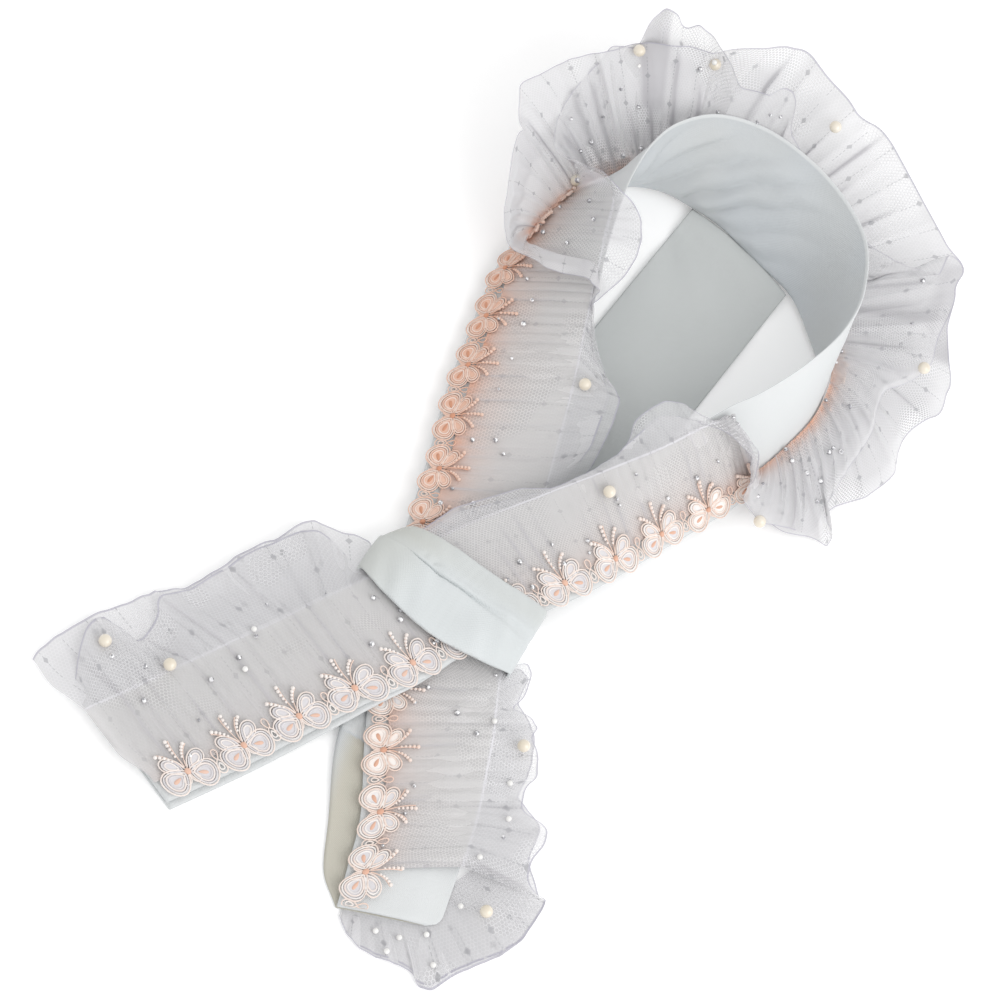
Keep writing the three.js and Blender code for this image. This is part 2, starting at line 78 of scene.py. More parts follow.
# Upper side of the keeper: along it, then lower edge, both lips of the slit and upper edge
KEEPER_EDGES = np.array([
    [-44, -12.5, 5.6, 6.0, 13], [-38, -16, 5.4, 5.8, 16], [-31, -19, 5.0, 5.4, 18.5],
    [-22, -21.5, 3.0, 3.4, 19.2], [-11, -24, 1.5, 2.1, 19.6], [2, -25.6, 1.0, 2.0, 18.5],
    [16, -24, -0.2, 1.6, 17.8], [29, -20.5, -1.2, 2.8, 18.3], [40, -16.5, -1.8, 4.0, 18.6],
])

# Net: width of one cell, and a count of cells that keeps their coordinates above zero
NET_CELL = 1.6
MANY_CELLS = 4000

# Woven dots of the net: spacing along the ruffle and across it
DOT_COLUMN = 13.0
DOT_ROW = 26.0

# One row per section, from the end of the upper tail to the end of the lower tail: place of the
# folded neck edge, place of the open hem edge, air between the leaves, how far the inner leaf shows
# past the hem, and 1 where the ruffle lies over the band or 0 where it flares out
SECTIONS = np.array([
    [-99, -140, 2.1, -49, -156, 2.0, 1.2, 3, 1],
    [-81, -102, 2.3, -30, -117, 2.3, 1.2, 3, 1],
    [-62, -62, 4.6, -12, -77, 6.6, 1.2, 3, 1],
    [-52, -42, 8.2, -2, -58, 11.6, 0.8, 2, 1],
    [-44, -26, 10.6, 6, -43, 11.6, 0.8, 1, 1],
    [-38, -12, 10.9, 12, -29, 10.9, 0.6, 0, 1],
    [-33, 4, 10.9, 17, -14, 10.9, 0.6, 0, 1],
    [-17, 39, 11.4, 33, 24, 10.9, 0.6, 0, 1],
    [4, 74, 20, 48, 55, 9.6, 1.0, 0, 1],
    [27, 113, 32, 64, 101, 5, 1.6, 0, 1],
    [42, 144, 40, 77, 137, 4, 1.8, 0, 1],
    [48, 158, 43, 80, 155, 3.5, 1.8, 0, 0.5],
    [56, 173, 46, 83, 173, 3, 1.8, 0, 0],
    [65, 198, 50, 85, 203, 2.5, 1.8, 0, 0],
    [70, 226, 50, 77, 229, 2.5, 1.8, 0, 0],
    [67, 253, 48, 61, 244, 2.5, 1.8, 0, 0],
    [52, 281, 45, 43, 256, 2.5, 1.8, 0, 0],
    [22, 297, 43, 22, 260, 2.5, 1.8, 0, 0],
    [-12, 300, 42, -6, 264, 2.5, 1.8, 0, 0],
    [-38, 289, 43, -25, 263, 2.5, 1.8, 0, 0],
    [-52, 268, 46, -41, 260, 2.5, 1.8, 0, 0],
    [-56, 246, 49, -54, 252, 2.5, 1.8, 0, 0],
    [-54, 222, 50, -68, 236, 2.5, 1.8, 0, 0],
    [-49, 203, 48, -77, 211, 2.5, 1.8, 0, 0],
    [-43, 187, 43, -80, 185, 2.5, 1.6, 0, 0.5],
    [-37, 174, 38, -79, 164, 2.5, 1.6, 0, 1],
    [-30, 158, 32, -74, 141, 2.5, 1.6, 0, 1],
    [-15, 124, 20, -63, 96, 2.8, 1.2, 0, 1],
    [0, 85, 9, -48, 52, 4, 0.8, 0, 1],
    [14, 45, 4.5, -36, 14, 4.4, 0.6, 0, 1],
    [28, 10, 4.4, -20, -25, 4.4, 0.6, 0, 1],
    [33, -4, 4.4, -15, -40, 4.4, 0.6, 3, 1],
    [40, -20, 4.2, -8, -55, 4.2, 0.8, 7, 1],
    [50, -40, 3.6, 5, -78, 3.4, 1.0, 13, 1],
    [63, -71, 2.4, 22, -106, 2.4, 1.2, 14, 1],
    [71, -96, 2.1, 31, -130, 2.1, 1.2, 10, 1],
    [79, -126, 2.0, 37, -147, 2.0, 1.2, 0, 1],
])
LAST = len(SECTIONS) - 1

# Free edges of the two layers of net: section, then the place of the edge
UPPER_EDGE = np.array([
    [0, -112, -137, 3], [0.25, -119, -126, 4], [0.45, -124, -114, 5], [0.65, -123, -105, 4],
    [0.9, -113, -105, 3], [1.1, -101, -104, 3], [1.3, -102, -89, 5], [1.5, -108, -82, 6],
    [1.8, -99, -69, 4], [2.1, -95, -59, 6], [2.35, -92, -50, 4], [2.6, -90, -43, 7],
    [2.9, -85, -30, 5], [3.1, -81, -26, 8], [3.4, -76, -13, 6], [3.7, -70, -9, 10],
    [4, -60, -8, 7], [4.3, -53, -10, 9], [4.7, -47, -12, 10], [5, -37, -17, 13], [6, -37, 7, 13],
    [7, -27, 41, 14], [7.6, -8, 68, 18], [8, 4, 75, 23], [8.4, 11, 87, 26], [8.75, 19, 102, 30],
    [8.95, 20, 115, 32], [9.15, 16, 123, 36], [9.35, 17, 128, 42], [9.6, 21, 137, 44],
    [9.85, 30, 142, 47], [10.1, 38, 142, 49], [10.45, 55, 147, 49], [10.75, 71, 147, 47],
    [11, 78, 141, 32], [11.3, 80, 134, 20], [11.7, 91, 136, 10], [12.2, 106, 145, 8],
    [12.7, 116, 151, 5], [12.9, 115, 159, 9], [13.1, 114, 171, 13], [13.4, 113, 189, 14],
    [13.7, 112, 206, 18], [13.9, 107, 217, 24], [14.1, 104, 233, 21], [14.35, 110, 246, 19],
    [14.55, 112, 258, 24], [14.8, 111, 268, 25], [15.05, 109, 279, 30], [15.3, 107, 294, 30],
    [15.5, 103, 298, 34], [15.65, 103, 305, 40], [15.8, 91, 301, 46], [16, 94, 290, 38],
    [16.15, 84, 288, 38], [16.35, 75, 282, 40], [16.6, 60, 281, 38], [16.85, 44, 287, 36],
    [17.15, 28, 292, 38], [17.5, 8, 298, 40], [17.8, -8, 302, 46], [18, -15, 314, 58],
    [18.2, -22, 310, 62], [18.35, -24, 304, 58], [18.55, -28, 303, 57], [18.8, -39, 295, 58],
    [19.05, -53, 298, 64], [19.3, -64, 303, 68], [19.55, -72, 301, 72], [19.8, -77, 298, 66],
    [19.95, -81, 299, 72], [20.15, -89, 295, 76], [20.35, -90, 290, 70], [20.6, -87, 278, 60],
    [20.95, -99, 268, 62], [21.35, -99, 257, 54], [21.7, -100, 243, 48], [22, -97, 227, 40],
    [22.2, -89, 210, 50], [22.4, -75, 210, 58], [22.6, -63, 211, 60], [22.8, -53, 210, 55],
    [23.05, -46, 209, 53], [23.35, -38, 205, 51], [23.7, -32, 197, 49], [24.1, -29, 189, 47],
    [24.55, -28, 179, 44], [24.95, -30, 166, 42], [25.3, -32, 159, 38], [25.5, -27, 155, 37],
    [25.85, -18, 146, 34], [26.25, -7, 137, 31], [26.6, 0, 135, 31], [26.95, 5, 132, 29],
    [27.3, 9, 121, 25], [27.7, 11, 111, 21], [28.1, 13, 100, 15], [28.5, 9, 91, 11],
    [29, 15, 57, 7], [30, 32, 8, 6], [31, 36, -8, 6], [31.3, 37, -3, 6], [31.55, 42, 4, 5],
    [31.8, 47, 1, 4], [32.05, 50, -11, 5], [32.25, 48, -20, 5], [32.45, 58, -17, 4],
    [32.7, 63, -19, 3], [32.9, 63, -26, 4], [33.2, 70, -31, 3], [33.5, 76, -41, 4],
    [33.7, 74, -48, 5], [33.95, 78, -58, 4], [34.15, 93, -56, 3], [34.35, 96, -64, 4],
    [34.6, 95, -75, 5], [34.8, 99, -85, 5], [35, 110, -85, 3], [35.3, 112, -93, 3],
    [35.6, 111, -107, 2], [36, 108, -119, 2],
])
UNDER_EDGE = np.array([
    [0, -133, -140, 2], [0.12, -134, -136, 3], [0.4, -131, -122, 2], [0.7, -125, -106, 3],
    [0.95, -118, -94, 2], [1.25, -111, -81, 3], [1.45, -109, -78, 3], [1.75, -100, -68, 3],
    [2.05, -96, -57, 3], [2.3, -93, -49, 4], [2.55, -92, -41, 3], [2.85, -86, -29, 5],
    [3.1, -82, -23, 4], [3.4, -78, -10, 6], [3.65, -74, -3, 5], [3.9, -68, -3, 7],
    [4.15, -60, 0, 6], [4.45, -55, 3, 7], [4.75, -47, 4, 8], [4.9, -45, -2, 9], [5.2, -44, -14, 9],
    [6, -35, 7, 10], [7, -25, 41, 12], [8, 2, 73, 20], [8.75, 19, 98, 27], [9.1, 19, 110, 31],
    [9.6, 23, 131, 41], [10.1, 40, 141, 46], [10.5, 58, 144, 46], [10.8, 71, 146, 40],
    [11.1, 77, 141, 26], [11.5, 85, 137, 12], [12, 105, 142, 6], [12.3, 117, 150, 5],
    [12.5, 126, 150, 6], [12.7, 126, 157, 7], [12.85, 118, 161, 8], [13.05, 118, 170, 6],
    [13.3, 123, 179, 5], [13.55, 129, 188, 7], [13.8, 133, 202, 5], [14, 133, 210, 8],
    [14.2, 128, 221, 9], [14.4, 128, 234, 6], [14.6, 130, 242, 8], [14.8, 136, 253, 6],
    [14.9, 132, 259, 9], [15.1, 131, 265, 12], [15.35, 120, 279, 14], [15.55, 112, 286, 20],
    [15.7, 108, 300, 22], [15.85, 104, 302, 28], [16, 103, 308, 36], [16.15, 90, 308, 40],
    [16.45, 78, 312, 44], [16.8, 63, 319, 46], [17.1, 49, 324, 50], [17.35, 35, 329, 54],
    [17.5, 27, 330, 56], [17.7, 17, 329, 55], [17.9, 8, 331, 58], [18.15, -7, 332, 60],
    [18.35, -17, 334, 62], [18.5, -23, 336, 62], [18.8, -33, 327, 66], [19.1, -43, 314, 66],
    [19.4, -53, 298, 64], [19.8, -69, 293, 64], [20.3, -83, 282, 64], [20.8, -94, 270, 62],
    [21.1, -101, 260, 62], [21.3, -105, 258, 58], [21.5, -110, 248, 60], [21.65, -114, 245, 54],
    [21.9, -117, 232, 58], [22.15, -122, 222, 56], [22.4, -115, 218, 48], [22.7, -107, 210, 46],
    [22.85, -109, 208, 44], [23.1, -99, 191, 38], [23.4, -91, 178, 30], [23.8, -81, 167, 22],
    [24.1, -64, 156, 46], [24.5, -41, 163, 50], [25, -32, 165, 44], [25.3, -32, 158, 36],
    [26, -18, 144, 32], [26.8, 0, 131, 27], [27.7, 7, 108, 20], [28.5, 6, 87, 10], [29, 14, 55, 6],
    [30, 32, 7, 6], [31, 35, -7, 5], [31.4, 41, 0, 4], [31.7, 47, -1, 3], [32.1, 49, -15, 3],
    [32.5, 58, -19, 3], [32.9, 65, -25, 3], [33.3, 71, -38, 3], [33.8, 74, -54, 3],
    [34.2, 90, -57, 2], [34.6, 94, -75, 3], [34.9, 103, -83, 3], [35.2, 110, -88, 2],
    [35.6, 110, -107, 2], [36, 106, -120, 2],
])

# Numbers of the pearls sewn on each layer and on the net's end
UPPER_PEARLS = (1, 2, 3, 4, 5, 7, 8, 9, 10, 11)
UNDER_PEARLS = (6, 7, 8, 9)
END_PEARLS = (12,)

# How steeply the photograph looks down, and the way from the collar to the eye
VIEW_SLOPE = math.radians(60)
SIGHT = np.array([0, -math.cos(VIEW_SLOPE), math.sin(VIEW_SLOPE)])

# Where each layer lies over the band (1) and where it flares out from its seam (0)
UPPER_LIE = np.array([[10.8, 1], [11.3, 0], [22.2, 0], [22.7, 1]])
UNDER_LIE = np.array([[10.6, 1], [11.2, 0], [24.0, 0], [24.7, 1]])

# Places where the net is folded on itself, drawn as denser net greyed by painted shade: first and last
# section, start across it, strength
FOLDED = np.array([[20.0, 20.55, 0.35, 0.8], [15.2, 15.75, 0.72, 0.7], [22.4, 24.0, 0.45, 0.3]])

# How strong the peach blush by the seam is along the band: section, strength
BLUSH = np.array([
    [0, 0.1], [6, 0.15], [8, 0.25], [9.5, 0.5], [11, 0.8], [13, 0.7], [15, 0.3], [18, 0.2], [21, 0.5],
    [23, 0.8], [24.5, 1.1], [28, 1], [29.5, 0.6], [31, 0.3], [33, 0.6], [34, 0.4], [36, 0.2],
])

# Section from which the lower tail's inner leaf shows its inside, in a deeper, yellowish painted shade
HIDDEN_START = 32.63

# The net ends short of the lower tail's end and is gathered there at the fold
NET_END = 35.05

# Turned-under end of the net below the lower tail: fold side, then free side
FAN_INNER = np.array([
    [77, -88, 3], [75, -97, 1.6], [72, -106, 0.6], [66, -112, 0.3], [58, -118, 0.3], [50, -126, 0.3],
    [42, -134, 0.3], [38, -142, 0.3],
])
FAN_OUTER = np.array([
    [110.5, -84.6, 3], [111.5, -90, 3], [112, -107, 2], [108, -119, 1], [101, -131, 1], [96, -140, 1],
    [94, -146, 1], [92, -152, 0.6], [85, -154, 0.6], [81, -150, 0.6], [75, -151, 0.6], [62, -155, 0.6],
    [54, -156, 0.6], [45, -153, 0.6], [40, -149, 0.6],
])


def unit(v):
    """Vectors divided by their length along the last axis."""
    return v / np.maximum(np.linalg.norm(v, axis=-1, keepdims=True), 1e-9)


def smooth(x, low, high):
    """0 below low, 1 above high, with a smooth cubic between them."""
    t = np.clip((np.asarray(x, float) - low) / (high - low), 0, 1)
    return t * t * (3 - 2 * t)


def sections(u):
    """Cubic curve through the rows of the table, evaluated at every u; last axis is the column."""
    u = np.clip(np.asarray(u, float), 0, LAST)
    i = np.minimum(u.astype(int), LAST - 1)
    t = (u - i)[..., None]
    padded = np.vstack([2 * SECTIONS[0] - SECTIONS[1], SECTIONS, 2 * SECTIONS[-1] - SECTIONS[-2]])
    a, b, e, f = (padded[i + k] for k in range(4))
    slope_b, slope_e = (e - a) / 2, (f - b) / 2
    return ((2 * t**3 - 3 * t**2 + 1) * b + (t**3 - 2 * t**2 + t) * slope_b
            + (3 * t**2 - 2 * t**3) * e + (t**3 - t**2) * slope_e)


class Band:
    """Frame of the folded band at every u: its neck and hem, the air between its leaves, its width,
    the way down to the hem and the way out of its face."""

    def __init__(self, u):
        rows = sections(u)
        self.neck, self.hem = rows[..., 0:3], rows[..., 3:6]
        self.gap, self.gape = rows[..., 6], np.maximum(rows[..., 7], 0)
        self.lie = np.clip(rows[..., 8], 0, 1)
        step = sections(np.asarray(u) + 0.15) - sections(np.asarray(u) - 0.15)
        travel = unit(step[..., 0:3] + step[..., 3:6])
        down = self.hem - self.neck
        self.width = np.linalg.norm(down, axis=-1)
        self.down = unit(down)
        self.out = unit(np.cross(self.down, travel))
        self.half = self.gap / 2 + LEAF

    def at(self, a, b):
        """Point a millimetres from the neck fold and b millimetres off the middle of the band."""
        return self.neck + self.down * np.asarray(a)[..., None] + self.out * np.asarray(b)[..., None]

    def camber(self, a):
        """Soft crown of the outer leaf, highest midway between fold and hem."""
        share = np.clip(a / self.width, 0, 1)
        return CAMBER * np.minimum(self.gap / 1.2, 1) * np.sin(np.pi * share)


def path_length(points):
    """Length run along a polyline at each of its points."""
    return np.concatenate([[0], np.cumsum(np.linalg.norm(np.diff(points, axis=0), axis=1))])


# Length along the hem at each u, to space bows and gathers in real millimetres
U_TABLE = np.linspace(0, LAST, 1201)
LENGTH_TABLE = path_length(sections(U_TABLE)[:, 3:6])
HEM_LENGTH = LENGTH_TABLE[-1]


def place(length):
    """u at a length along the hem."""
    return np.interp(length, LENGTH_TABLE, U_TABLE)


def length_at(u):
    """Length along the hem at u."""
    return np.interp(u, U_TABLE, LENGTH_TABLE)


def blush_at(u):
    """Strength of the blush at u."""
    return np.interp(u, BLUSH[:, 0], BLUSH[:, 1])


def hashed(n, seed):
    """A repeatable value between -1 and 1 for every whole number n."""
    x = np.sin(np.asarray(n, float) * 127.1 + seed * 311.7) * 43758.5453
    return 2 * (x - np.floor(x)) - 1


def noise(x, seed):
    """Smooth noise along a line: hashed values at whole numbers, eased between them."""
    i = np.floor(x)
    t = x - i
    t = t * t * (3 - 2 * t)
    return hashed(i, seed) * (1 - t) + hashed(i + 1, seed) * t


def noise2(x, y, seed):
    """Smooth noise over a plane, eased between hashed values at whole-numbered corners."""
    i, j = np.floor(x), np.floor(y)
    s, t = x - i, y - j
    s, t = s * s * (3 - 2 * s), t * t * (3 - 2 * t)

    def corner(p, q):
        return hashed(p + 57.0 * q, seed)

    near = corner(i, j) * (1 - s) + corner(i + 1, j) * s
    far = corner(i, j + 1) * (1 - s) + corner(i + 1, j + 1) * s
    return near * (1 - t) + far * t


def grid_mesh(name, points, uv, material, close_u=False, close_v=False):
    """A mesh from an n by m grid of points in millimetres, with one UV pair in metres per point.
    A closed direction joins the last row to the first; its UV grid holds one more row."""
    n, m = points.shape[:2]
    rows, cols = n if close_u else n - 1, m if close_v else m - 1
    i, j = np.meshgrid(np.arange(rows), np.arange(cols), indexing="ij")
    i, j = i.ravel(), j.ravel()
    i2, j2 = (i + 1) % n, (j + 1) % m
    corners = np.stack([i * m + j, i2 * m + j, i2 * m + j2, i * m + j2], axis=1)
    k = i * uv.shape[1] + j
    uv_corners = np.stack([k, k + uv.shape[1], k + uv.shape[1] + 1, k + 1], axis=1)
    loop_uv = uv.reshape(-1, 2)[uv_corners.ravel()]
    return build_mesh(name, points.reshape(-1, 3), corners, loop_uv, material)


def build_mesh(name, points, faces, loop_uv, material):
    """An object from points in millimetres, faces of equal size and a UV pair per face corner."""
    mesh = bpy.data.meshes.new(name)
    count, size = faces.shape
    mesh.vertices.add(len(points))
    mesh.vertices.foreach_set("co", (points * MM).astype(np.float32).ravel())
    mesh.loops.add(count * size)
    mesh.loops.foreach_set("vertex_index", faces.astype(np.int32).ravel())
    mesh.polygons.add(count)
    mesh.polygons.foreach_set("loop_start", np.arange(0, count * size, size, dtype=np.int32))
    mesh.update(calc_edges=True)
    if loop_uv is not None:
        layer = mesh.uv_layers.new(name="UVMap")
        layer.data.foreach_set("uv", loop_uv.astype(np.float32).ravel())
    mesh.polygons.foreach_set("use_smooth", np.ones(count, dtype=bool))
    mesh.validate()
    piece = bpy.data.objects.new(name, mesh)
    bpy.context.scene.collection.objects.link(piece)
    mesh.materials.append(material)
    return piece


def tubes(paths, radius, sides, closed=False):
    """Round cords along many paths at once: paths is k by n by 3, and each ring of points stands
    square to its path. Returns points and four-sided faces."""
    k, n = paths.shape[:2]
    if closed:
        along = np.roll(paths, -1, axis=1) - np.roll(paths, 1, axis=1)
    else:
        along = np.gradient(paths, axis=1)
    along = unit(along)
    side = unit(np.cross(along, np.array([0.0, 0.0, 1.0])))
    top = np.cross(side, along)
    turn = 2 * np.pi * np.arange(sides) / sides
    ring = side[:, :, None] * np.cos(turn)[:, None] + top[:, :, None] * np.sin(turn)[:, None]
    points = paths[:, :, None] + ring * radius
    spans = n if closed else n - 1
    c, i, j = np.meshgrid(np.arange(k), np.arange(spans), np.arange(sides), indexing="ij")
    near, far = (c * n + i) * sides, (c * n + (i + 1) % n) * sides
    j2 = (j + 1) % sides
    faces = np.stack([near + j, near + j2, far + j2, far + j], axis=-1)
    return points.reshape(-1, 3), faces.reshape(-1, 4)


def balls(centres, radii, sides=8, rings=5, stretch=None):
    """Round beads: every centre gets the same ring pattern of points, scaled by its radius."""
    polar = np.pi * np.arange(rings + 1) / rings
    turn = 2 * np.pi * np.arange(sides) / sides
    shell = np.stack([
        np.outer(np.sin(polar), np.cos(turn)),
        np.outer(np.sin(polar), np.sin(turn)),
        np.outer(np.cos(polar), np.ones(sides)),
    ], axis=-1).reshape(-1, 3)
    if stretch is not None:
        shell = shell * stretch
    points = centres[:, None] + shell * np.asarray(radii, float).reshape(-1, 1, 1)
    c, i, j = np.meshgrid(np.arange(len(centres)), np.arange(rings), np.arange(sides), indexing="ij")
    near = c * len(shell) + i * sides
    j2 = (j + 1) % sides
    faces = np.stack([near + j, near + sides + j, near + sides + j2, near + j2], axis=-1)
    return points.reshape(-1, 3), faces.reshape(-1, 4)


def join(parts):
    """Several (points, faces) pairs as one pair."""
    points, faces, start = [], [], 0
    for p, f in parts:
        points.append(p)
        faces.append(f + start)
        start += len(p)
    return np.concatenate(points), np.concatenate(faces)


# Surfaces of the net


def edge_at(u, table):
    """Free edge of a layer: the table's points joined by straight runs, with corners eased by the
    mean of five nearby places."""
    total = 0
    for shift in (-0.06, -0.03, 0, 0.03, 0.06):
        at = np.clip(u + shift, table[0, 0], table[-1, 0])
        total = total + np.stack([np.interp(at, table[:, 0], table[:, k]) for k in (1, 2, 3)], axis=-1)
    return total / 5


class Layer:
    """One layer of net: its free edge, where it lies flat, its height above the band's face, the
    seed of its gathers and the numbers of its pearls."""

    def __init__(self, edge, lie, lift, seed, pearls):
        self.edge, self.lie, self.lift, self.seed, self.pearls = edge, lie, lift, seed, pearls

    def lying(self, u):
        """1 where the layer lies over the band and 0 where it flares out, eased between."""
        return smooth(np.interp(u, self.lie[:, 0], self.lie[:, 1]), 0, 1)

    def base(self, u, v):
        """The layer before its gathers: over the face to the neck fold and on to the free edge
        where it lies, a quadratic curve from seam to free edge where it flares, and a blend
        between. Also gives how open the net is to the air and the distance from the seam."""
        band = Band(u)
        free = edge_at(u, self.edge)
        lie = self.lying(u)
        rise = band.half + SEAM_LIFT + self.lift
        seam_a = band.width - GATHER_LINE
        over_neck = band.at(0 * seam_a, rise + 0.3)
        beyond = np.linalg.norm(free - over_neck, axis=-1)
        travelled = v * (seam_a + beyond)
        a = np.maximum(seam_a - travelled, 0)
        on_face = band.at(a, rise + 0.3 * v + band.camber(a))
        past = np.clip((travelled - seam_a) / np.maximum(beyond, 0.001), 0, None)[..., None]
        past_neck = over_neck + (free - over_neck) * past
        lying = np.where((travelled <= seam_a)[..., None], on_face, past_neck)
        seam = band.at(seam_a, rise + band.camber(seam_a))
        reach = np.linalg.norm(free - seam, axis=-1)
        bend = (seam + free) / 2
        bend = bend + band.out * (6 + 30 * lie * (1 - lie))[..., None] + np.array([0, 0, 5.0])
        w = v[..., None]
        flaring = seam * (1 - w)**2 + bend * 2 * w * (1 - w) + free * w**2
        blend = lie[..., None]
        bare = lie * smooth(travelled - seam_a, -1.5, 1.5) + 1 - lie
        away = lie * travelled + (1 - lie) * v * reach
        return flaring * (1 - blend) + lying * blend, bare, away

    def out(self, u, v):
        """Side of the layer that faces away from the band."""
        along = self.base(u + 0.05, v)[0] - self.base(u - 0.05, v)[0]
        across = self.base(u, np.minimum(v + 0.04, 1))[0] - self.base(u, np.maximum(v - 0.04, 0))[0]
        return unit(np.cross(along, across))

    def pleats(self, u, v):
        """Places within the broad pleats and within the fine gathers, in pleats from the start."""
        s = length_at(u)
        drift = 1.8 * noise(s / 31, 3 + self.seed) + 0.9 * noise(s / 11, 4 + self.seed)
        lean = 2.2 * noise(s / 23, 5 + self.seed) * v
        return (s + drift + lean) / 6.3, (s + 0.6 * drift) / 2.9

    def gathers(self, u, v):
        """Height of the gathers, in millimetres: tight pleats at the seam that run out into uneven
        folds, with a soft crumple and a curled free edge."""
        seed = self.seed
        s = length_at(u)
        broad, narrow = self.pleats(u, v)
        lie = self.lying(u)
        pleat = ridge(broad) * (0.7 + 0.3 * noise(s / 14, 7 + seed)) * (1.5 - 0.9 * lie)
        pleat = pleat * (0.35 + 1.2 * np.sin(np.pi * np.clip(v, 0, 1))**0.7)
        fine = ridge(narrow) * (0.4 - 0.15 * lie) * (1 - 0.6 * v)
        crumple = 0.9 * (1 + noise2(s / 13, v * 4.5, 8 + seed)) * smooth(v, 0.15, 0.6)
        edge = smooth(v, 0.85, 1.0) * (1 + noise(s / 4.5, 9 + seed))
        tight = 0.15 + 0.85 * smooth(np.abs(u - 6.2), 1.6, 3.0) * smooth(np.abs(u - 29.6), 1.6, 3.0)
        return (pleat + fine + crumple + edge) * tight

    def creases(self, u, v):
        """How strongly the net is folded on itself: thin lines in the valleys of some pleats, with
        short ones near the seam."""
        broad, narrow = self.pleats(u, v)
        near, low = np.round(broad), np.round(narrow)
        valley = np.exp(-((broad - near) / 0.07)**2) + 0.3 * np.exp(-((broad - near) / 0.22)**2)
        long_line = valley * np.clip(0.35 + hashed(near, 61 + self.seed), 0, 1)
        reach = 0.35 + 0.6 * np.abs(hashed(near, 62 + self.seed))
        lie = self.lying(u)
        long_line = long_line * smooth(reach + 0.2 - v, 0, 0.3) * (1.4 - 0.5 * lie)
        short = np.exp(-((narrow - low) / 0.16)**2) * np.maximum(hashed(low, 63 + self.seed), 0)
        short = short * smooth(0.2 + 0.25 * np.abs(hashed(low, 64 + self.seed)) - v, 0, 0.12)
        folded = 0
        for first, last, start, strength in FOLDED:
            inside = smooth(u, first, first + 0.1) * smooth(last - u, 0, 0.1)
            folded = folded + strength * inside * smooth(v, start, start + 0.15)
        return np.clip(long_line + 0.7 * short + folded, 0, 1)

    def points(self, u, v, lift=0.0):
        """The gathered layer at (u, v), with lift millimetres added on its outward side."""
        base = self.base(u, v)[0]
        made = base + self.out(u, v) * (self.gathers(u, v) + lift)[..., None]
        made[..., 2] = np.maximum(made[..., 2], 0.4)
        return made


def ridge(x):
    """A row of soft folds: sharp valleys and round crests, from 0 to 1, one per unit of x."""
    return np.abs(np.sin(np.pi * x))**0.8


UPPER = Layer(UPPER_EDGE, UPPER_LIE, 0.9, 0, UPPER_PEARLS)
UNDER = Layer(UNDER_EDGE, UNDER_LIE, 0.3, 50, UNDER_PEARLS)


def over_ruffle(length, q, h):
    """A point on the trimmed face: length along the hem, q inward from the hem and h above the
    face or, past the gather line, above the ruffle."""
    length, q, h = np.broadcast_arrays(length, q, h)
    u = place(length)
    band = Band(u)
    rise = band.half + SEAM_LIFT + LEAF + h
    fold_a = band.width - GATHER_LINE + 2.4 * (1 - band.lie)
    tilt = 1 + np.minimum(band.down[..., 2], 0)
    start_a = band.width + 2 * band.lie * tilt - 3 * (1 - band.lie)
    flat_part = GATHER_LINE + 2
    a = start_a + (fold_a - start_a) * np.minimum(q + 2, flat_part) / flat_part
    on_face = band.at(a, rise + band.camber(a))
    reach = np.linalg.norm(edge_at(u, UPPER_EDGE) - band.at(band.width - GATHER_LINE, 0 * a), axis=-1)
    spread = (q + 2 - flat_part) * (0.15 + 0.85 * band.lie**4)
    v = np.clip((spread + 3 * (1 - band.lie)) / reach, 0, 1)
    lift = h + 0.5 + 0.6 * (1 - band.lie) + 3 * band.lie * (1 - band.lie)
    on_net = UPPER.points(u, v, lift)
    blend = smooth(q + 2, flat_part - 2, flat_part + 2)[..., None]
    return on_face * (1 - blend) + on_net * blend


# Materials


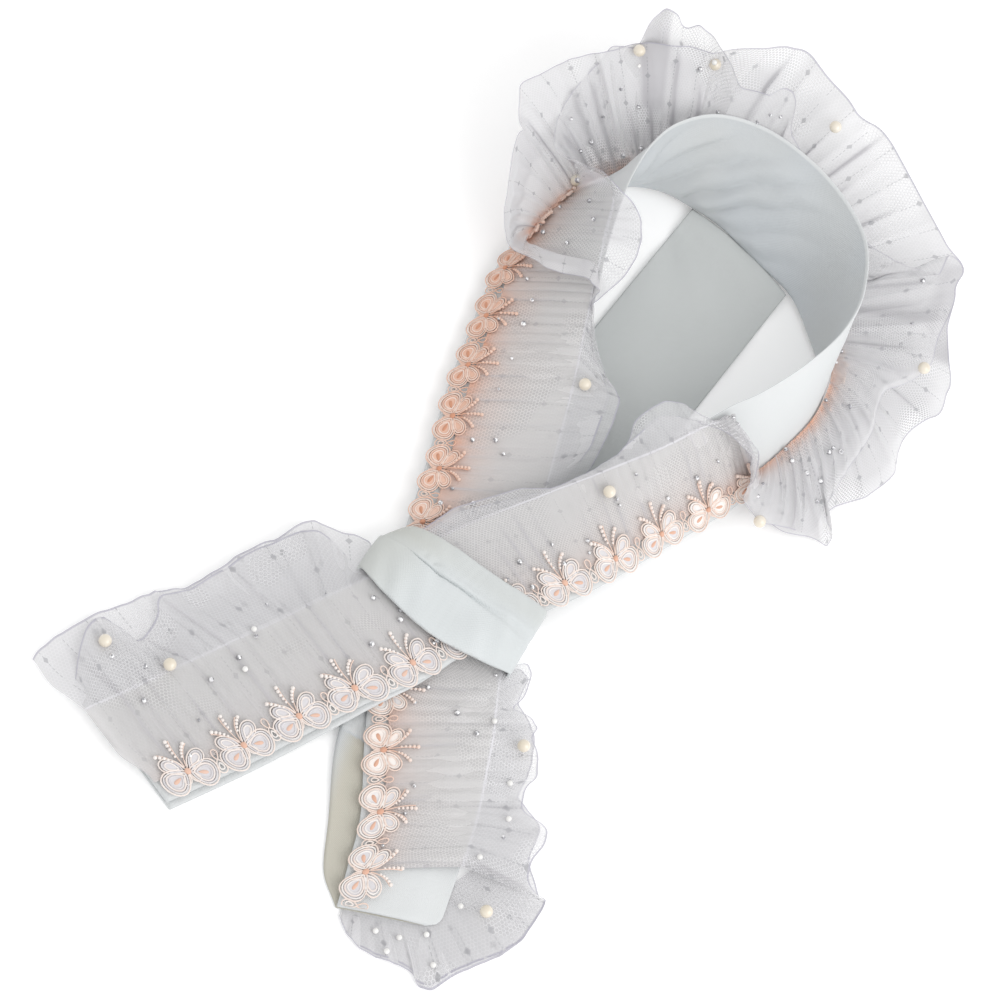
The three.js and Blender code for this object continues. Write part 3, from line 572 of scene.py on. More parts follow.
class Nodes:
    """Short-hand for a material's node tree: every call adds one node and returns its output."""

    def __init__(self, name):
        self.material = bpy.data.materials.new(name)
        self.material.use_nodes = True
        self.tree = self.material.node_tree
        self.tree.nodes.clear()
        self.shader = self.tree.nodes.new("ShaderNodeBsdfPrincipled")
        output = self.tree.nodes.new("ShaderNodeOutputMaterial")
        self.tree.links.new(self.shader.outputs[0], output.inputs["Surface"])

    def put(self, value, socket):
        """Links a socket, or sets a plain value."""
        if isinstance(value, bpy.types.NodeSocket):
            self.tree.links.new(value, socket)
        else:
            socket.default_value = value

    def set(self, **values):
        """Sets or links the shader's sockets by name, with _ for a blank."""
        for name, value in values.items():
            self.put(value, self.shader.inputs[name.replace("_", " ")])

    def math(self, operation, a, b=0.0):
        node = self.tree.nodes.new("ShaderNodeMath")
        node.operation = operation
        self.put(a, node.inputs[0])
        self.put(b, node.inputs[1])
        return node.outputs[0]

    def vector(self, operation, a, b=(0, 0, 0), out=0):
        node = self.tree.nodes.new("ShaderNodeVectorMath")
        node.operation = operation
        self.put(a, node.inputs[0])
        self.put(b, node.inputs[1])
        return node.outputs[out]

    def uv(self, scale=(1, 1, 1)):
        node = self.tree.nodes.new("ShaderNodeUVMap")
        node.uv_map = "UVMap"
        return self.vector("MULTIPLY", node.outputs[0], scale)

    def place(self, scale=(1, 1, 1)):
        node = self.tree.nodes.new("ShaderNodeTexCoord")
        return self.vector("MULTIPLY", node.outputs["Object"], scale)

    def attribute(self, name):
        node = self.tree.nodes.new("ShaderNodeAttribute")
        node.attribute_name = name
        return node.outputs["Fac"]

    def split(self, vector):
        node = self.tree.nodes.new("ShaderNodeSeparateXYZ")
        self.put(vector, node.inputs[0])
        return node.outputs[0], node.outputs[1], node.outputs[2]

    def noise(self, vector, scale, detail=3.0, rough=0.55):
        node = self.tree.nodes.new("ShaderNodeTexNoise")
        self.put(vector, node.inputs["Vector"])
        node.inputs["Scale"].default_value = scale
        node.inputs["Detail"].default_value = detail
        node.inputs["Roughness"].default_value = rough
        return node.outputs[0]

    def ramp(self, value, *stops):
        """A colour ramp through (position, colour) stops."""
        node = self.tree.nodes.new("ShaderNodeValToRGB")
        self.put(value, node.inputs[0])
        elements = node.color_ramp.elements
        while len(elements) < len(stops):
            elements.new(0.5)
        for element, (position, colour) in zip(elements, stops):
            element.position = position
            element.color = (*colour, 1)
        return node.outputs[0]

    def fade(self, value, *stops):
        """A ramp of greys through (position, tone) stops."""
        return self.ramp(value, *((position, (tone, tone, tone)) for position, tone in stops))

    def mix(self, share, a, b):
        node = self.tree.nodes.new("ShaderNodeMix")
        node.data_type = "RGBA"
        self.put(share, node.inputs["Factor"])
        self.put(a if isinstance(a, bpy.types.NodeSocket) else (*a, 1), node.inputs["A"])
        self.put(b if isinstance(b, bpy.types.NodeSocket) else (*b, 1), node.inputs["B"])
        return node.outputs["Result"]

    def bump(self, height, strength, distance):
        node = self.tree.nodes.new("ShaderNodeBump")
        self.put(height, node.inputs["Height"])
        node.inputs["Strength"].default_value = strength
        node.inputs["Distance"].default_value = distance
        self.put(node.outputs[0], self.shader.inputs["Normal"])


def cotton(name, tint, shade, painted_shade, thread=0.45):
    """Plain woven cotton: crossed threads in the UV map, faint slubs and soft wrinkles. Where its
    point attribute for shade is 0.5 it takes a darker painted shade tone, and where that is 1 a deeper,
    yellowish painted shade."""
    m = Nodes(name)
    across, along, _ = m.split(m.uv((1000 / thread, 1000 / thread, 1)))
    warp = m.math("SINE", m.math("MULTIPLY", across, math.pi))
    weft = m.math("SINE", m.math("MULTIPLY", along, math.pi))
    weave = m.math("MULTIPLY", warp, weft)
    slub = m.noise(m.uv((1, 1, 1)), 160, 3)
    crease = m.noise(m.place(), 34, 4, 0.5)
    cloud = m.noise(m.place(), 11, 2)
    height = m.math("ADD", m.math("MULTIPLY", weave, 0.12), m.math("MULTIPLY", slub, 0.35))
    height = m.math("ADD", height, m.math("MULTIPLY", crease, 1.2))
    m.bump(height, 0.4, 0.0012)
    colour = m.ramp(cloud, (0.3, shade), (0.7, tint))
    warm = (painted_shade[0] - 0.02, painted_shade[1] - 0.035, painted_shade[2] - 0.06)
    # Painted shade: the point attribute turns the cotton to the darker shade tone at 0.5 and to the deeper,
    # yellowish shade at 1
    inside = m.attribute("painted_shade")
    colour = m.mix(m.fade(inside, (0.0, 0), (0.5, 1)), colour, m.ramp(cloud, (0.35, warm), (0.6, painted_shade)))
    colour = m.mix(m.fade(inside, (0.5, 0), (1.0, 1)), colour, DEEP_PAINTED_SHADE)
    m.set(Base_Color=colour, Roughness=0.82)
    m.shader.inputs["Sheen Weight"].default_value = 0.15
    m.shader.inputs["Sheen Roughness"].default_value = 0.5
    return m.material


def hexagon_net(m, cell):
    """Distance from the middle of the nearest six-sided cell of the UV map, 0.5 on its border."""
    rows = (1, math.sqrt(3), 1)
    half = (0.5, math.sqrt(3) / 2, 0)
    positive = (MANY_CELLS, MANY_CELLS * rows[1], 0)
    spot = m.uv((1000 / cell, 1000 / cell, 0))
    reach = []
    for shift in ((0, 0, 0), half):
        moved = m.vector("ADD", m.vector("SUBTRACT", spot, shift), positive)
        cells = m.vector("ABSOLUTE", m.vector("SUBTRACT", m.vector("MODULO", moved, rows), half))
        x, _, _ = m.split(cells)
        reach.append(m.math("MAXIMUM", x, m.vector("DOT_PRODUCT", cells, half, out=1)))
    return m.math("MINIMUM", reach[0], reach[1])


def tulle(name, cover):
    """Sheer net that hides about the given share of what lies behind it: smooth veil in most
    places and six-sided cells in patches, denser in creases and over the band's fold, with woven
    dots, a dashed thread through each, a rolled free edge and a peach blush. Light and shade are
    painted into its colour: greyer in creases and where it flares out, lighter where it lies on the
    band, and a painted highlight over the band's fold."""
    m = Nodes(name)
    bare, crease, blush = m.attribute("bare"), m.attribute("crease"), m.attribute("blush")
    border = hexagon_net(m, NET_CELL)
    thread = m.fade(border, (0.36, 0), (0.46, 1))
    patch = m.fade(m.noise(m.place(), 26, 1), (0.52, 0.1), (0.6, 1))
    patch = m.math("MULTIPLY", patch, m.math("ADD", 0.35, m.math("MULTIPLY", bare, 0.65)))
    along, across, _ = m.split(m.uv((1000, 1000, 1)))
    column = m.math("FLOOR", m.math("DIVIDE", along, DOT_COLUMN))
    shift = m.math("FRACT", m.math("MULTIPLY", m.math("SINE", m.math("MULTIPLY", column, 12.9)), 43.7))
    x = m.math("ABSOLUTE", m.math("SUBTRACT", m.math("MODULO", along, DOT_COLUMN), DOT_COLUMN / 2))
    y = m.math("ADD", across, m.math("MULTIPLY", shift, DOT_ROW))
    y = m.math("ABSOLUTE", m.math("SUBTRACT", m.math("MODULO", y, DOT_ROW), DOT_ROW / 2))
    spot = m.math("ADD", m.math("DIVIDE", x, 1.5), m.math("DIVIDE", y, 1.9))
    dot = m.fade(spot, (0.85, 1), (1.0, 0))
    dash = m.math("MULTIPLY", m.math("LESS_THAN", x, 0.19), m.math("LESS_THAN", y, 11))
    dash = m.math("MULTIPLY", dash, m.math("LESS_THAN", m.math("MODULO", across, 2.2), 1.3))
    marks = m.math("MAXIMUM", m.math("MULTIPLY", dot, 0.75), m.math("MULTIPLY", dash, 0.7))
    marks = m.math("MULTIPLY", marks, m.math("ADD", 0.45, m.math("MULTIPLY", bare, 0.55)))
    rim = m.math("GREATER_THAN", across, RUFFLE_WIDTH - 0.8)
    # Painted light and shade of one net: lighter where it lies on the band, greyer where it flares out
    white = m.mix(bare, (0.745, 0.735, 0.735), (0.69, 0.685, 0.7))
    patchy = m.math("MULTIPLY", blush, m.math("MULTIPLY", m.noise(m.place(), 50, 2), 2))
    colour = m.mix(patchy, white, (0.88, 0.5, 0.35))
    # Painted shade: greyer in creases and folded places, where the net is also denser
    colour = m.mix(m.math("MULTIPLY", crease, 0.7), colour, (0.42, 0.41, 0.43))
    # Painted highlight: lighter, and denser, where the net turns over the band's neck fold
    fold_highlight = m.math("MULTIPLY", m.math("MULTIPLY", bare, 4), m.math("SUBTRACT", 1, bare))
    uneven = m.fade(m.noise(m.place(), 11, 1), (0.35, 0.3), (0.6, 1))
    fold_highlight = m.math("MULTIPLY", m.fade(fold_highlight, (0.6, 0), (0.95, 1)), uneven)
    colour = m.mix(m.math("MULTIPLY", fold_highlight, 0.55), colour, (0.84, 0.83, 0.88))
    colour = m.mix(marks, colour, (0.32, 0.32, 0.34))
    colour = m.mix(rim, colour, (0.45, 0.44, 0.5))
    veil = m.math("ADD", cover - 0.08, m.math("MULTIPLY", m.noise(m.place(), 14, 2), 0.16))
    mesh = m.math("ADD", cover - 0.3, m.math("MULTIPLY", thread, 0.68))
    alpha = m.math("ADD", veil, m.math("MULTIPLY", patch, m.math("SUBTRACT", mesh, veil)))
    alpha = m.math("ADD", alpha, m.math("MULTIPLY", crease, 0.45))
    strong = m.math("MAXIMUM", marks, m.math("MULTIPLY", rim, 0.8))
    strong = m.math("MAXIMUM", strong, m.math("MULTIPLY", fold_highlight, 0.7))
    alpha = m.math("MAXIMUM", m.math("MAXIMUM", alpha, strong), m.math("MULTIPLY", patchy, 0.6))
    m.set(Base_Color=colour, Roughness=0.7, Alpha=alpha)
    m.shader.inputs["Specular IOR Level"].default_value = 0.2
    return m.material


def embroidery():
    """Satin-stitched cord: lilac grey, cream, peach and deep orange as the tone attribute rises. The lilac
    grey of the lowest tones, on the pads, is the net between the cords in painted shade.
    """
    m = Nodes("lace cord")
    tone = m.math("ADD", m.attribute("tone"), m.math("MULTIPLY", m.noise(m.place(), 160, 2), 0.2))
    colour = m.ramp(
        tone, (0.02, (0.68, 0.66, 0.68)), (0.12, (0.9, 0.86, 0.83)), (0.4, (0.83, 0.67, 0.59)),
        (0.75, (0.75, 0.46, 0.34)), (1.0, (0.6, 0.28, 0.17)))
    m.bump(m.noise(m.place(), 900, 2), 0.5, 0.0004)
    m.set(Base_Color=colour, Roughness=0.55)
    m.shader.inputs["Sheen Weight"].default_value = 0.2
    return m.material


def pearl_finish(name, shade, tint):
    """Imitation pearl: two near tones in soft clouds under a clear coat."""
    m = Nodes(name)
    colour = m.ramp(m.noise(m.place(), 120, 2), (0.35, shade), (0.7, tint))
    m.bump(m.noise(m.place(), 400, 2), 0.04, 0.0003)
    m.set(Base_Color=colour, Roughness=0.16)
    m.shader.inputs["Coat Weight"].default_value = 1.0
    m.shader.inputs["Coat Roughness"].default_value = 0.06
    m.shader.inputs["Specular IOR Level"].default_value = 0.6
    return m.material


def crystal():
    """Small silvery stones: hard gloss, with grey and near-white patches painted in as the reflections of
    facets.
    """
    m = Nodes("silver stones")
    colour = m.ramp(m.noise(m.place(), 700, 1), (0.42, (0.36, 0.36, 0.38)), (0.55, (0.95, 0.95, 0.96)))
    m.set(Base_Color=colour, Roughness=0.15, Metallic=0.6)
    return m.material


def table_top():
    """A white board with a faint glow of its own, so that it reads as paper white."""
    m = Nodes("white board")
    tone = m.ramp(m.noise(m.place(), 2, 2), (0.3, (0.92, 0.92, 0.92)), (0.7, (0.94, 0.94, 0.94)))
    m.set(Base_Color=tone, Roughness=0.9, Emission_Color=(1, 1, 1, 1), Emission_Strength=0.15)
    return m.material


# Painted shade tones: a grey-blue one for the band's inner faces, and a deeper, yellowish one for the
# inside of the lower tail's inner leaf
PAINTED_SHADE_COLOUR, DEEP_PAINTED_SHADE = (0.58, 0.61, 0.635), (0.54, 0.52, 0.45)
COTTON = cotton("white cotton", (0.7, 0.715, 0.72), (0.66, 0.68, 0.685), PAINTED_SHADE_COLOUR)
# The panel's cotton is darker all over: painted shade of the collar ring around it
SHADED_PANEL_COTTON = cotton("panel cotton in painted shade", (0.6, 0.62, 0.615), (0.57, 0.59, 0.585), PAINTED_SHADE_COLOUR)
# Keeper cotton: its third tone is a painted shade for its left end and upper flap
KEEPER_COTTON = cotton(
    "keeper cotton", (0.665, 0.695, 0.705), (0.63, 0.66, 0.665), (0.56, 0.585, 0.575), thread=0.5)
UPPER_TULLE = tulle("upper tulle", 0.5)
UNDER_TULLE = tulle("under tulle", 0.7)
LACE = embroidery()
PEARL_FINISH = pearl_finish("cream pearl lustre", (0.74, 0.66, 0.53), (0.83, 0.77, 0.67))
BEAD_FINISH = pearl_finish("white pearl lustre", (0.8, 0.79, 0.77), (0.88, 0.87, 0.85))
CRYSTAL = crystal()


# Pieces


def wrinkles(s, a):
    """Soft unevenness of the band in millimetres, from broad to fine noise over its surface."""
    broad = noise2(s / 42, a / 30, 11)
    drag = noise2(s / 13 + a / 26, a / 40, 12)
    return 0.35 * broad + 0.3 * drag


def drape(u, s, a, width):
    """Height of the slanting folds of the inner leaf behind the neck: rounded ridges that run from
    the neck fold down towards the upper strand's side, strongest mid-way."""
    run = (s - 1.3 * a) / 19 + 0.35 * noise(s / 37, 15) + 0.15 * noise2(s / 11, a / 13, 16)
    height = ridge(run) * (0.6 + 0.4 * hashed(np.floor(run), 17))
    along = smooth(u, 16.0, 18.5) * smooth(24.2 - u, 0, 1.5)
    return 5.4 * height * along * smooth(a / width, 0.02, 0.3) * smooth(1.02 - a / width, 0, 0.12)


def collar_band():
    """The folded band. Its outline runs from the hem over the outer leaf's face, round the neck fold
    and down the inner leaf's face, then back between the leaves at half the gap from the middle:
    a is the distance from the fold and b the height off the middle. The outer leaf has a sine
    crown, the inner leaf hanging folds, and both are softly uneven. The outline is carried along
    the table of sections, and the lower tail's corner at the fold is rounded by a quarter circle."""
    stations = 650
    u = np.linspace(0, LAST, stations)
    band = Band(u)
    s = length_at(u)
    outer, inner = band.half[:, None], (band.gap / 2)[:, None]
    width, inner_width = band.width[:, None], (band.width + band.gape)[:, None]
    face = np.linspace(1, 0, 26)[None, :]
    turn = np.radians(np.linspace(90, 270, 11))[None, :]
    back = np.linspace(0, 1, 40)[None, :]
    inner_turn = np.radians(np.linspace(262, 98, 8))[None, :]

    def camber(a):
        return CAMBER * np.minimum(band.gap / 1.2, 1)[:, None] * np.sin(np.pi * np.clip(a / width, 0, 1))

    def uneven(a, side):
        return side * wrinkles(s[:, None], a + 60 * side) * np.minimum(inner, 0.9) / 0.9

    def hem_round(share):
        return np.where(share >= 1, 0.28, 0.0)

    a1 = outer + (width - outer) * face
    b1 = outer + camber(a1) - hem_round(face) + uneven(a1, 1)
    a2 = outer + outer * np.cos(turn)
    b2 = outer * np.sin(turn) + uneven(a2, 1) * np.sin(turn)
    a3 = outer + (inner_width - outer) * back
    b3 = -outer + hem_round(back) - uneven(a3, -1) * 0.6 - drape(u[:, None], s[:, None], a3, width)
    a4 = outer + (inner_width - outer) * back[:, ::-1]
    b4 = -inner - hem_round(back[:, ::-1]) - uneven(a4, -1) * 0.6 - drape(u[:, None], s[:, None], a4, width)
    a5 = outer + inner * np.cos(inner_turn)
    b5 = inner * np.sin(inner_turn)
    a6 = outer + (width - outer) * face[:, ::-1]
    b6 = inner + camber(a6) + hem_round(face[:, ::-1]) + uneven(a6, 1)
    a = np.concatenate([a1, a2[:, 1:-1], a3, a4, a5, a6], axis=1)
    b = np.concatenate([b1, b2[:, 1:-1], b3, b4, b5, b6], axis=1)
    b = b * (0.35 + 0.65 * smooth(a, 0, 16))
    from_end = np.linalg.norm(band.neck - band.neck[-1], axis=-1)
    short = np.clip(END_ROUND - from_end, 0, END_ROUND)
    tuck = (END_ROUND - np.sqrt(END_ROUND**2 - short**2))[:, None]
    a = a + tuck * np.clip(1 - a / width, 0, 1)
    points = band.neck[:, None] + band.down[:, None] * a[..., None] + band.out[:, None] * b[..., None]
    points[..., 2] = np.maximum(points[..., 2], 0.1)
    step = np.hypot(np.diff(a), np.diff(b))
    run = np.cumsum(np.concatenate([np.zeros((stations, 1)), step], axis=1), axis=1)
    run = np.concatenate([run, run[:, -1:] + LEAF], axis=1)
    uv = np.stack([np.broadcast_to(s[:, None], run.shape), run], axis=-1) * MM
    piece = grid_mesh("band_cloth", points, uv, COTTON, close_v=True)
    counts = [part.shape[1] for part in (a1, a2[:, 1:-1], a3, a4, a5, a6)]
    # Painted shade: the inner leaf's face and the faces between the leaves take the darker shade tone (0.5)
    painted_shade = np.repeat([0, 0, 0.5, 0, 0.5, 0.5], counts)[None, :] + 0 * a
    # Painted shade: inside the lower tail's inner leaf, past HIDDEN_START, the tone deepens to the darker,
    # yellowish shade (up to 1)
    from_edge = np.clip((inner_width - a4) / np.maximum(band.gape, 0.1)[:, None], 0, 1)
    start = HIDDEN_START + 0.24 * from_edge
    hidden = smooth(from_edge + 0.6 * (u[:, None] - start), 0.1, 0.9)
    inside = slice(sum(counts[:3]), sum(counts[:4]))
    painted_shade[:, inside] = (0.5 + 0.5 * hidden) * smooth(u[:, None] - start, 0, 0.06)
    attribute(piece, "painted_shade", painted_shade)
    close_ends(piece, stations, a.shape[1])
    return piece


def close_ends(piece, rows, cols):
    """Fills the first and last outline of a carried profile with one face each."""
    work = bmesh.new()
    work.from_mesh(piece.data)
    work.verts.ensure_lookup_table()
    work.faces.new([work.verts[i] for i in range(cols)])
    work.faces.new([work.verts[(rows - 1) * cols + i] for i in reversed(range(cols))])
    bmesh.ops.recalc_face_normals(work, faces=work.faces)
    work.to_mesh(piece.data)
    work.free()


def back_panel():
    """The panel: a cotton rectangle that rises under the keeper and, towards its seam, carries
    soft folds that fan out from the seam's left end. Its seam follows the band's lower edge."""
    t = np.linspace(0, 1, 240)[:, None]
    across = np.linspace(-1, 1, 70)[None, :]
    x = PANEL_END_X + (PANEL_SEAM_X - PANEL_END_X) * t + across * PANEL_HALF_WIDTH
    off = across * PANEL_HALF_WIDTH
    seam_y = PANEL_SEAM_Y + 1.8 - 0.12 * off - 0.0035 * off**2
    y = PANEL_END_Y + (seam_y - PANEL_END_Y) * t
    under = smooth(62 - np.abs(y), 0, 26)
    corner_x, corner_y = PANEL_SEAM_X - PANEL_HALF_WIDTH, PANEL_SEAM_Y - 4
    angle = np.arctan2(corner_y - y + 6, x - corner_x + 14)
    away = np.hypot(corner_y - y, x - corner_x)
    fan = 0.5 + 0.5 * np.sin(angle * 11 + noise(away / 35, 21))
    fan = fan * smooth(150 - away, 0, 120)
    slack = 0.5 + 0.5 * noise2(x / 24, y / 46, 22)
    rise = smooth(y, 60, 110)
    folds = rise * (1.1 * fan + 0.9 * slack) * smooth(1 - t, -0.02, 0.1)
    z = 0.55 + 1.6 * under + folds + 2.2 * smooth(t, 0.94, 0.99)
    points = np.stack(np.broadcast_arrays(x, y, z), axis=-1)
    uv = np.stack(np.broadcast_arrays(x, y), axis=-1) * MM
    piece = grid_mesh("panel_cloth", points, uv, SHADED_PANEL_COTTON)
    thicken(piece, 0.9)
    return piece


def thicken(piece, wall):
    """A wall of even thickness about the middle of a sheet, in millimetres."""
    solid = piece.modifiers.new("wall", "SOLIDIFY")
    solid.thickness = wall * MM
    solid.offset = 0
    solid.use_even_offset = True


def keeper_loop():
    """The keeper: a flattened ring round the strands. Each row of points is its closed profile,
    across the width inside and back outside, and the rows go round a superellipse. Its upper side
    is two soft flaps that part along a slit, narrow and puckered at the left and open like a wedge
    at the right. The wall there is a rounded crown, less a groove along the slit, plus noise."""
    ring_steps, profile = 300, 120
    angle = 2 * np.pi * np.arange(ring_steps)[:, None] / ring_steps
    c, s = np.cos(angle), np.sin(angle)
    upper = smooth(s, -0.25, 0.35)
    low, high = KEEPER_BASE, KEEPER_BASE + KEEPER_INSIDE
    middle = (low + high) / 2
    t = np.linspace(0, 1, profile)[None, :]
    outside = smooth(t, 0.48, 0.52)
    side = np.clip(np.where(t < 0.5, -1 + 4 * t, 3 - 4 * t), -1, 1)
    share = (side + 1) / 2
    left = KEEPER_LEFT[0] + (KEEPER_LEFT[1] - KEEPER_LEFT[0]) * share - KEEPER_BULGE * (1 - side**2)
    right = KEEPER_RIGHT[0] + (KEEPER_RIGHT[1] - KEEPER_RIGHT[0]) * share
    inner_x = (left + right) / 2 + np.abs(c)**0.45 * np.sign(c) * (right - left) / 2
    roof = np.where(c < 0, 0.62, 0.42)
    inner_z = middle + np.abs(s)**np.where(s > 0, roof, 0.12) * np.sign(s) * (high - middle)
    droop = 0.3 * smooth(inner_x, 12, 38) * smooth(-side, -0.2, 0.9)
    inner_z = low + (inner_z - low) * (1 - droop * upper)
    low_edge, low_lip, high_lip, high_edge = (
        np.interp(inner_x, KEEPER_EDGES[:, 0], KEEPER_EDGES[:, column]) for column in (1, 2, 3, 4))
    lower_flap = low_edge + (low_lip - low_edge) * np.clip((side + 1) / 0.92, 0, 1)
    upper_flap = high_lip + (high_edge - high_lip) * np.clip((side - 0.08) / 0.92, 0, 1)
    cleft = low_lip + (high_lip - low_lip) * np.clip((side + 0.08) / 0.16, 0, 1)
    opened = np.where(side < -0.08, lower_flap, np.where(side > 0.08, upper_flap, cleft))
    y = upper * opened + (1 - upper) * side * (KEEPER_WIDTH / 2 - 1)
    rounded = np.clip(1 - np.abs(side), 0, 1)**0.35
    swell = np.exp(-((np.abs(side) - 0.16) / 0.09)**2)
    cut = np.exp(-(side / 0.075)**4)
    near = smooth(inner_x, -30, -16)
    pucker = noise2(inner_x / 1.7, side * 9, 33) * np.exp(-((side - 0.2) / 0.16)**2)
    pucker = pucker * smooth(14 - inner_x, 0, 14)
    crumple = noise2(inner_x / 13 + 40, side * 1.6, 31) + noise2((inner_x + 7 * side) / 6, side * 1.3, 32)
    cleft_depth = 1.7 - smooth(inner_x, 0, 22)
    raised = 0.5 * swell - cleft_depth * cut + 0.7 * pucker
    made = 0.6 + 1.5 * rounded + near * raised + 0.75 * crumple
    wall = outside * (KEEPER_BASE * 0.8 + upper * np.maximum(made, 0.1) * np.abs(s)**0.5)
    x = inner_x + c * wall
    z = np.maximum(inner_z + s * wall, low * (1 - outside) + 0.02)
    cos_t, sin_t = math.cos(KEEPER_TURN), math.sin(KEEPER_TURN)
    points = np.stack([KEEPER_X + x * cos_t - y * sin_t, KEEPER_Y + x * sin_t + y * cos_t, z], axis=-1)
    run = np.concatenate([angle, [[2 * np.pi]]]) * 36
    across = np.concatenate([t, [[1.0]]], axis=1) * 2 * KEEPER_WIDTH
    uv = np.stack(np.broadcast_arrays(run, across), axis=-1) * MM
    piece = grid_mesh("keeper_cloth", points, uv, KEEPER_COTTON, close_u=True, close_v=True)
    # Painted shade: darker towards the keeper's left end and on its upper flap, kept off the slit
    shaded = 0.4 * smooth(6 * side - inner_x, 8, 42) + 0.16 * smooth(side, 0.1, 0.6)
    attribute(piece, "painted_shade", outside * upper * shaded * (1 - np.exp(-(side / 0.12)**4) * near))
    return piece


def attribute(piece, name, values):
    """A named value at every point of a piece, for its material."""
    layer = piece.data.attributes.new(name, "FLOAT", "POINT")
    layer.data.foreach_set("value", values.astype(np.float32).ravel())


def spaced(table, count):
    """A polyline's points, redrawn as count points evenly spaced along it and eased."""
    run = path_length(table)
    at = np.linspace(0, run[-1], count)
    eased = 0
    for shift in (-1.5, 0, 1.5):
        eased = eased + np.stack([np.interp(at + shift, run, table[:, k]) for k in range(3)], axis=-1)
    return eased / 3


def pearl_middle(number):
    """Middle of a CAD pearl in millimetres."""
    low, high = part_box(f"pearl_{number:02d}")
    return (np.array(low) + np.array(high)) / 2 / MM


def drawn_to(points, pearls, slack):
    """Net drawn to the pearls sewn on it: its nearest place moves to the far side of the pearl, slack
    millimetres off, and the net around follows in a soft bell of displacement."""
    for number in pearls:
        seat = pearl_middle(number) - SIGHT * (PEARL + slack)
        gap = np.linalg.norm(points - seat, axis=-1)
        nearest = points[np.unravel_index(np.argmin(gap), gap.shape)]
        bell = np.exp(-(np.linalg.norm(points - nearest, axis=-1) / (6 + gap.min()))**2)
        points = points + (seat - nearest) * bell[..., None]
    return points


def net_layer(name, layer, net):
    """One layer of net as a sheet: a grid of even steps along the hem and across from the seam to
    the free edge, on the layer's gathered surface, hung over the upper tail's end and drawn to its
    pearls. Returns it with the end of the same net that is turned under the lower tail."""
    steps, rows = 1700, 46
    s = np.linspace(0, length_at(NET_END), steps)[:, None]
    v = np.linspace(0, 1, rows)[None, :]
    length, across = (grid.copy() for grid in np.broadcast_arrays(s, v))
    u = place(length)
    _, bare, away = layer.base(u, across)
    points = layer.points(u, across)
    overhang = 6 * np.exp(-length / 9) * smooth(across, 0.02, 0.35) * smooth(1.05 - across, 0, 0.3)
    points = points - unit(sections(0.2)[0:3] - sections(0)[0:3]) * overhang[..., None]
    points = drawn_to(points, layer.pearls, 0.2 if layer is UPPER else 0.6)
    run = path_length(points[:, rows * 2 // 3])
    uv = np.stack([run[:, None] + 0 * across, across * RUFFLE_WIDTH], axis=-1) * MM
    piece = grid_mesh(name, points, uv, net)
    attribute(piece, "bare", bare)
    attribute(piece, "crease", layer.creases(u, across))
    attribute(piece, "blush", blush_at(u) * np.exp(-away / (3 + 6 * (1 - bare))) * (0.8 + 0.4 * bare))
    return piece, net_end(name + "_end", layer, net, run[-1])


def net_end(name, layer, net, start):
    """The net's end under the lower tail: straight lines from its fold to its free edge, rippled
    by ridges and noise that grow outwards. start is the net's length where the end begins."""
    steps, rows = 240, 30
    inner, outer = spaced(FAN_INNER, steps), spaced(FAN_OUTER, steps)
    w = np.linspace(0, 1, rows)[None, :, None]
    t = np.linspace(0, 1, steps)[:, None]
    shrink = 1 - 0.04 * (layer is UPPER) * smooth(t, 0.1, 0.4)
    points = inner[:, None] + (outer - inner)[:, None] * w * shrink[..., None]
    share = w[..., 0]
    ripple = (0.9 * ridge(t * 15 + layer.seed) + 0.5 * (1 + noise(t * 40, layer.seed))) * share**0.8
    points[..., 2] = points[..., 2] + ripple * smooth(share, 0.25, 0.8) + 0.1 * (layer is UPPER)
    if layer is UPPER:
        points = drawn_to(points, END_PEARLS, 0.2)
    along = start + path_length(outer)[:, None] * 0.8
    uv = np.stack(np.broadcast_arrays(along, RUFFLE_WIDTH * (0.55 + 0.45 * share)), axis=-1) * MM
    piece = grid_mesh(name, points, uv, net)
    attribute(piece, "bare", np.ones(points.shape[:2]))
    attribute(piece, "crease", np.zeros(points.shape[:2]))
    attribute(piece, "blush", np.zeros(points.shape[:2]))
    return piece


def petal(length, width, count):
    """Outline of a petal in flat measure, pointed at the origin and round at its far end, with its
    axis along the first coordinate."""
    turn = 2 * np.pi * np.arange(count) / count
    across = np.sin(turn) * np.sin(turn / 2)**0.75
    return np.stack([length * (1 - np.cos(turn)) / 2, width / 2 * across / np.abs(across).max()], axis=-1)


def turned(outline, lean, start):
    """A flat outline turned by lean degrees and moved to start."""
    c, s = math.cos(math.radians(lean)), math.sin(math.radians(lean))
    return np.stack([start[0] + c * outline[:, 0] - s * outline[:, 1],
                     start[1] + s * outline[:, 0] + c * outline[:, 1]], axis=-1)


def cushion(outline, middle, height, rings=4):
    """A low closed pad over an outline: rings of it shrink to the middle above and below."""
    polar = np.pi * np.arange(rings + 1)[:, None] / rings
    flat = middle + (outline - middle)[None] * np.sin(polar)[..., None]
    points = np.concatenate([flat, np.broadcast_to(0.3 + height * np.cos(polar)[..., None],
                                                   (*flat.shape[:2], 1))], axis=-1)
    count = len(outline)
    i, j = np.meshgrid(np.arange(rings), np.arange(count), indexing="ij")
    j2 = (j + 1) % count
    faces = np.stack([i * count + j, (i + 1) * count + j, (i + 1) * count + j2, i * count + j2], axis=-1)
    return points.reshape(-1, 3), faces.reshape(-1, 4)


# Lean of a bow's petals, leaf wings and short ends in degrees from the line along the hem, height
# of its cords over the net, and the tone of the pads under them: lilac grey for the net between the cords,
# darkened as painted shade
PETAL_LEAN, WING_LEAN, TAIL_LEAN = -24, 40, -66
CORD_HEIGHT = 0.55
PAD_SHADE_TONE = -0.12


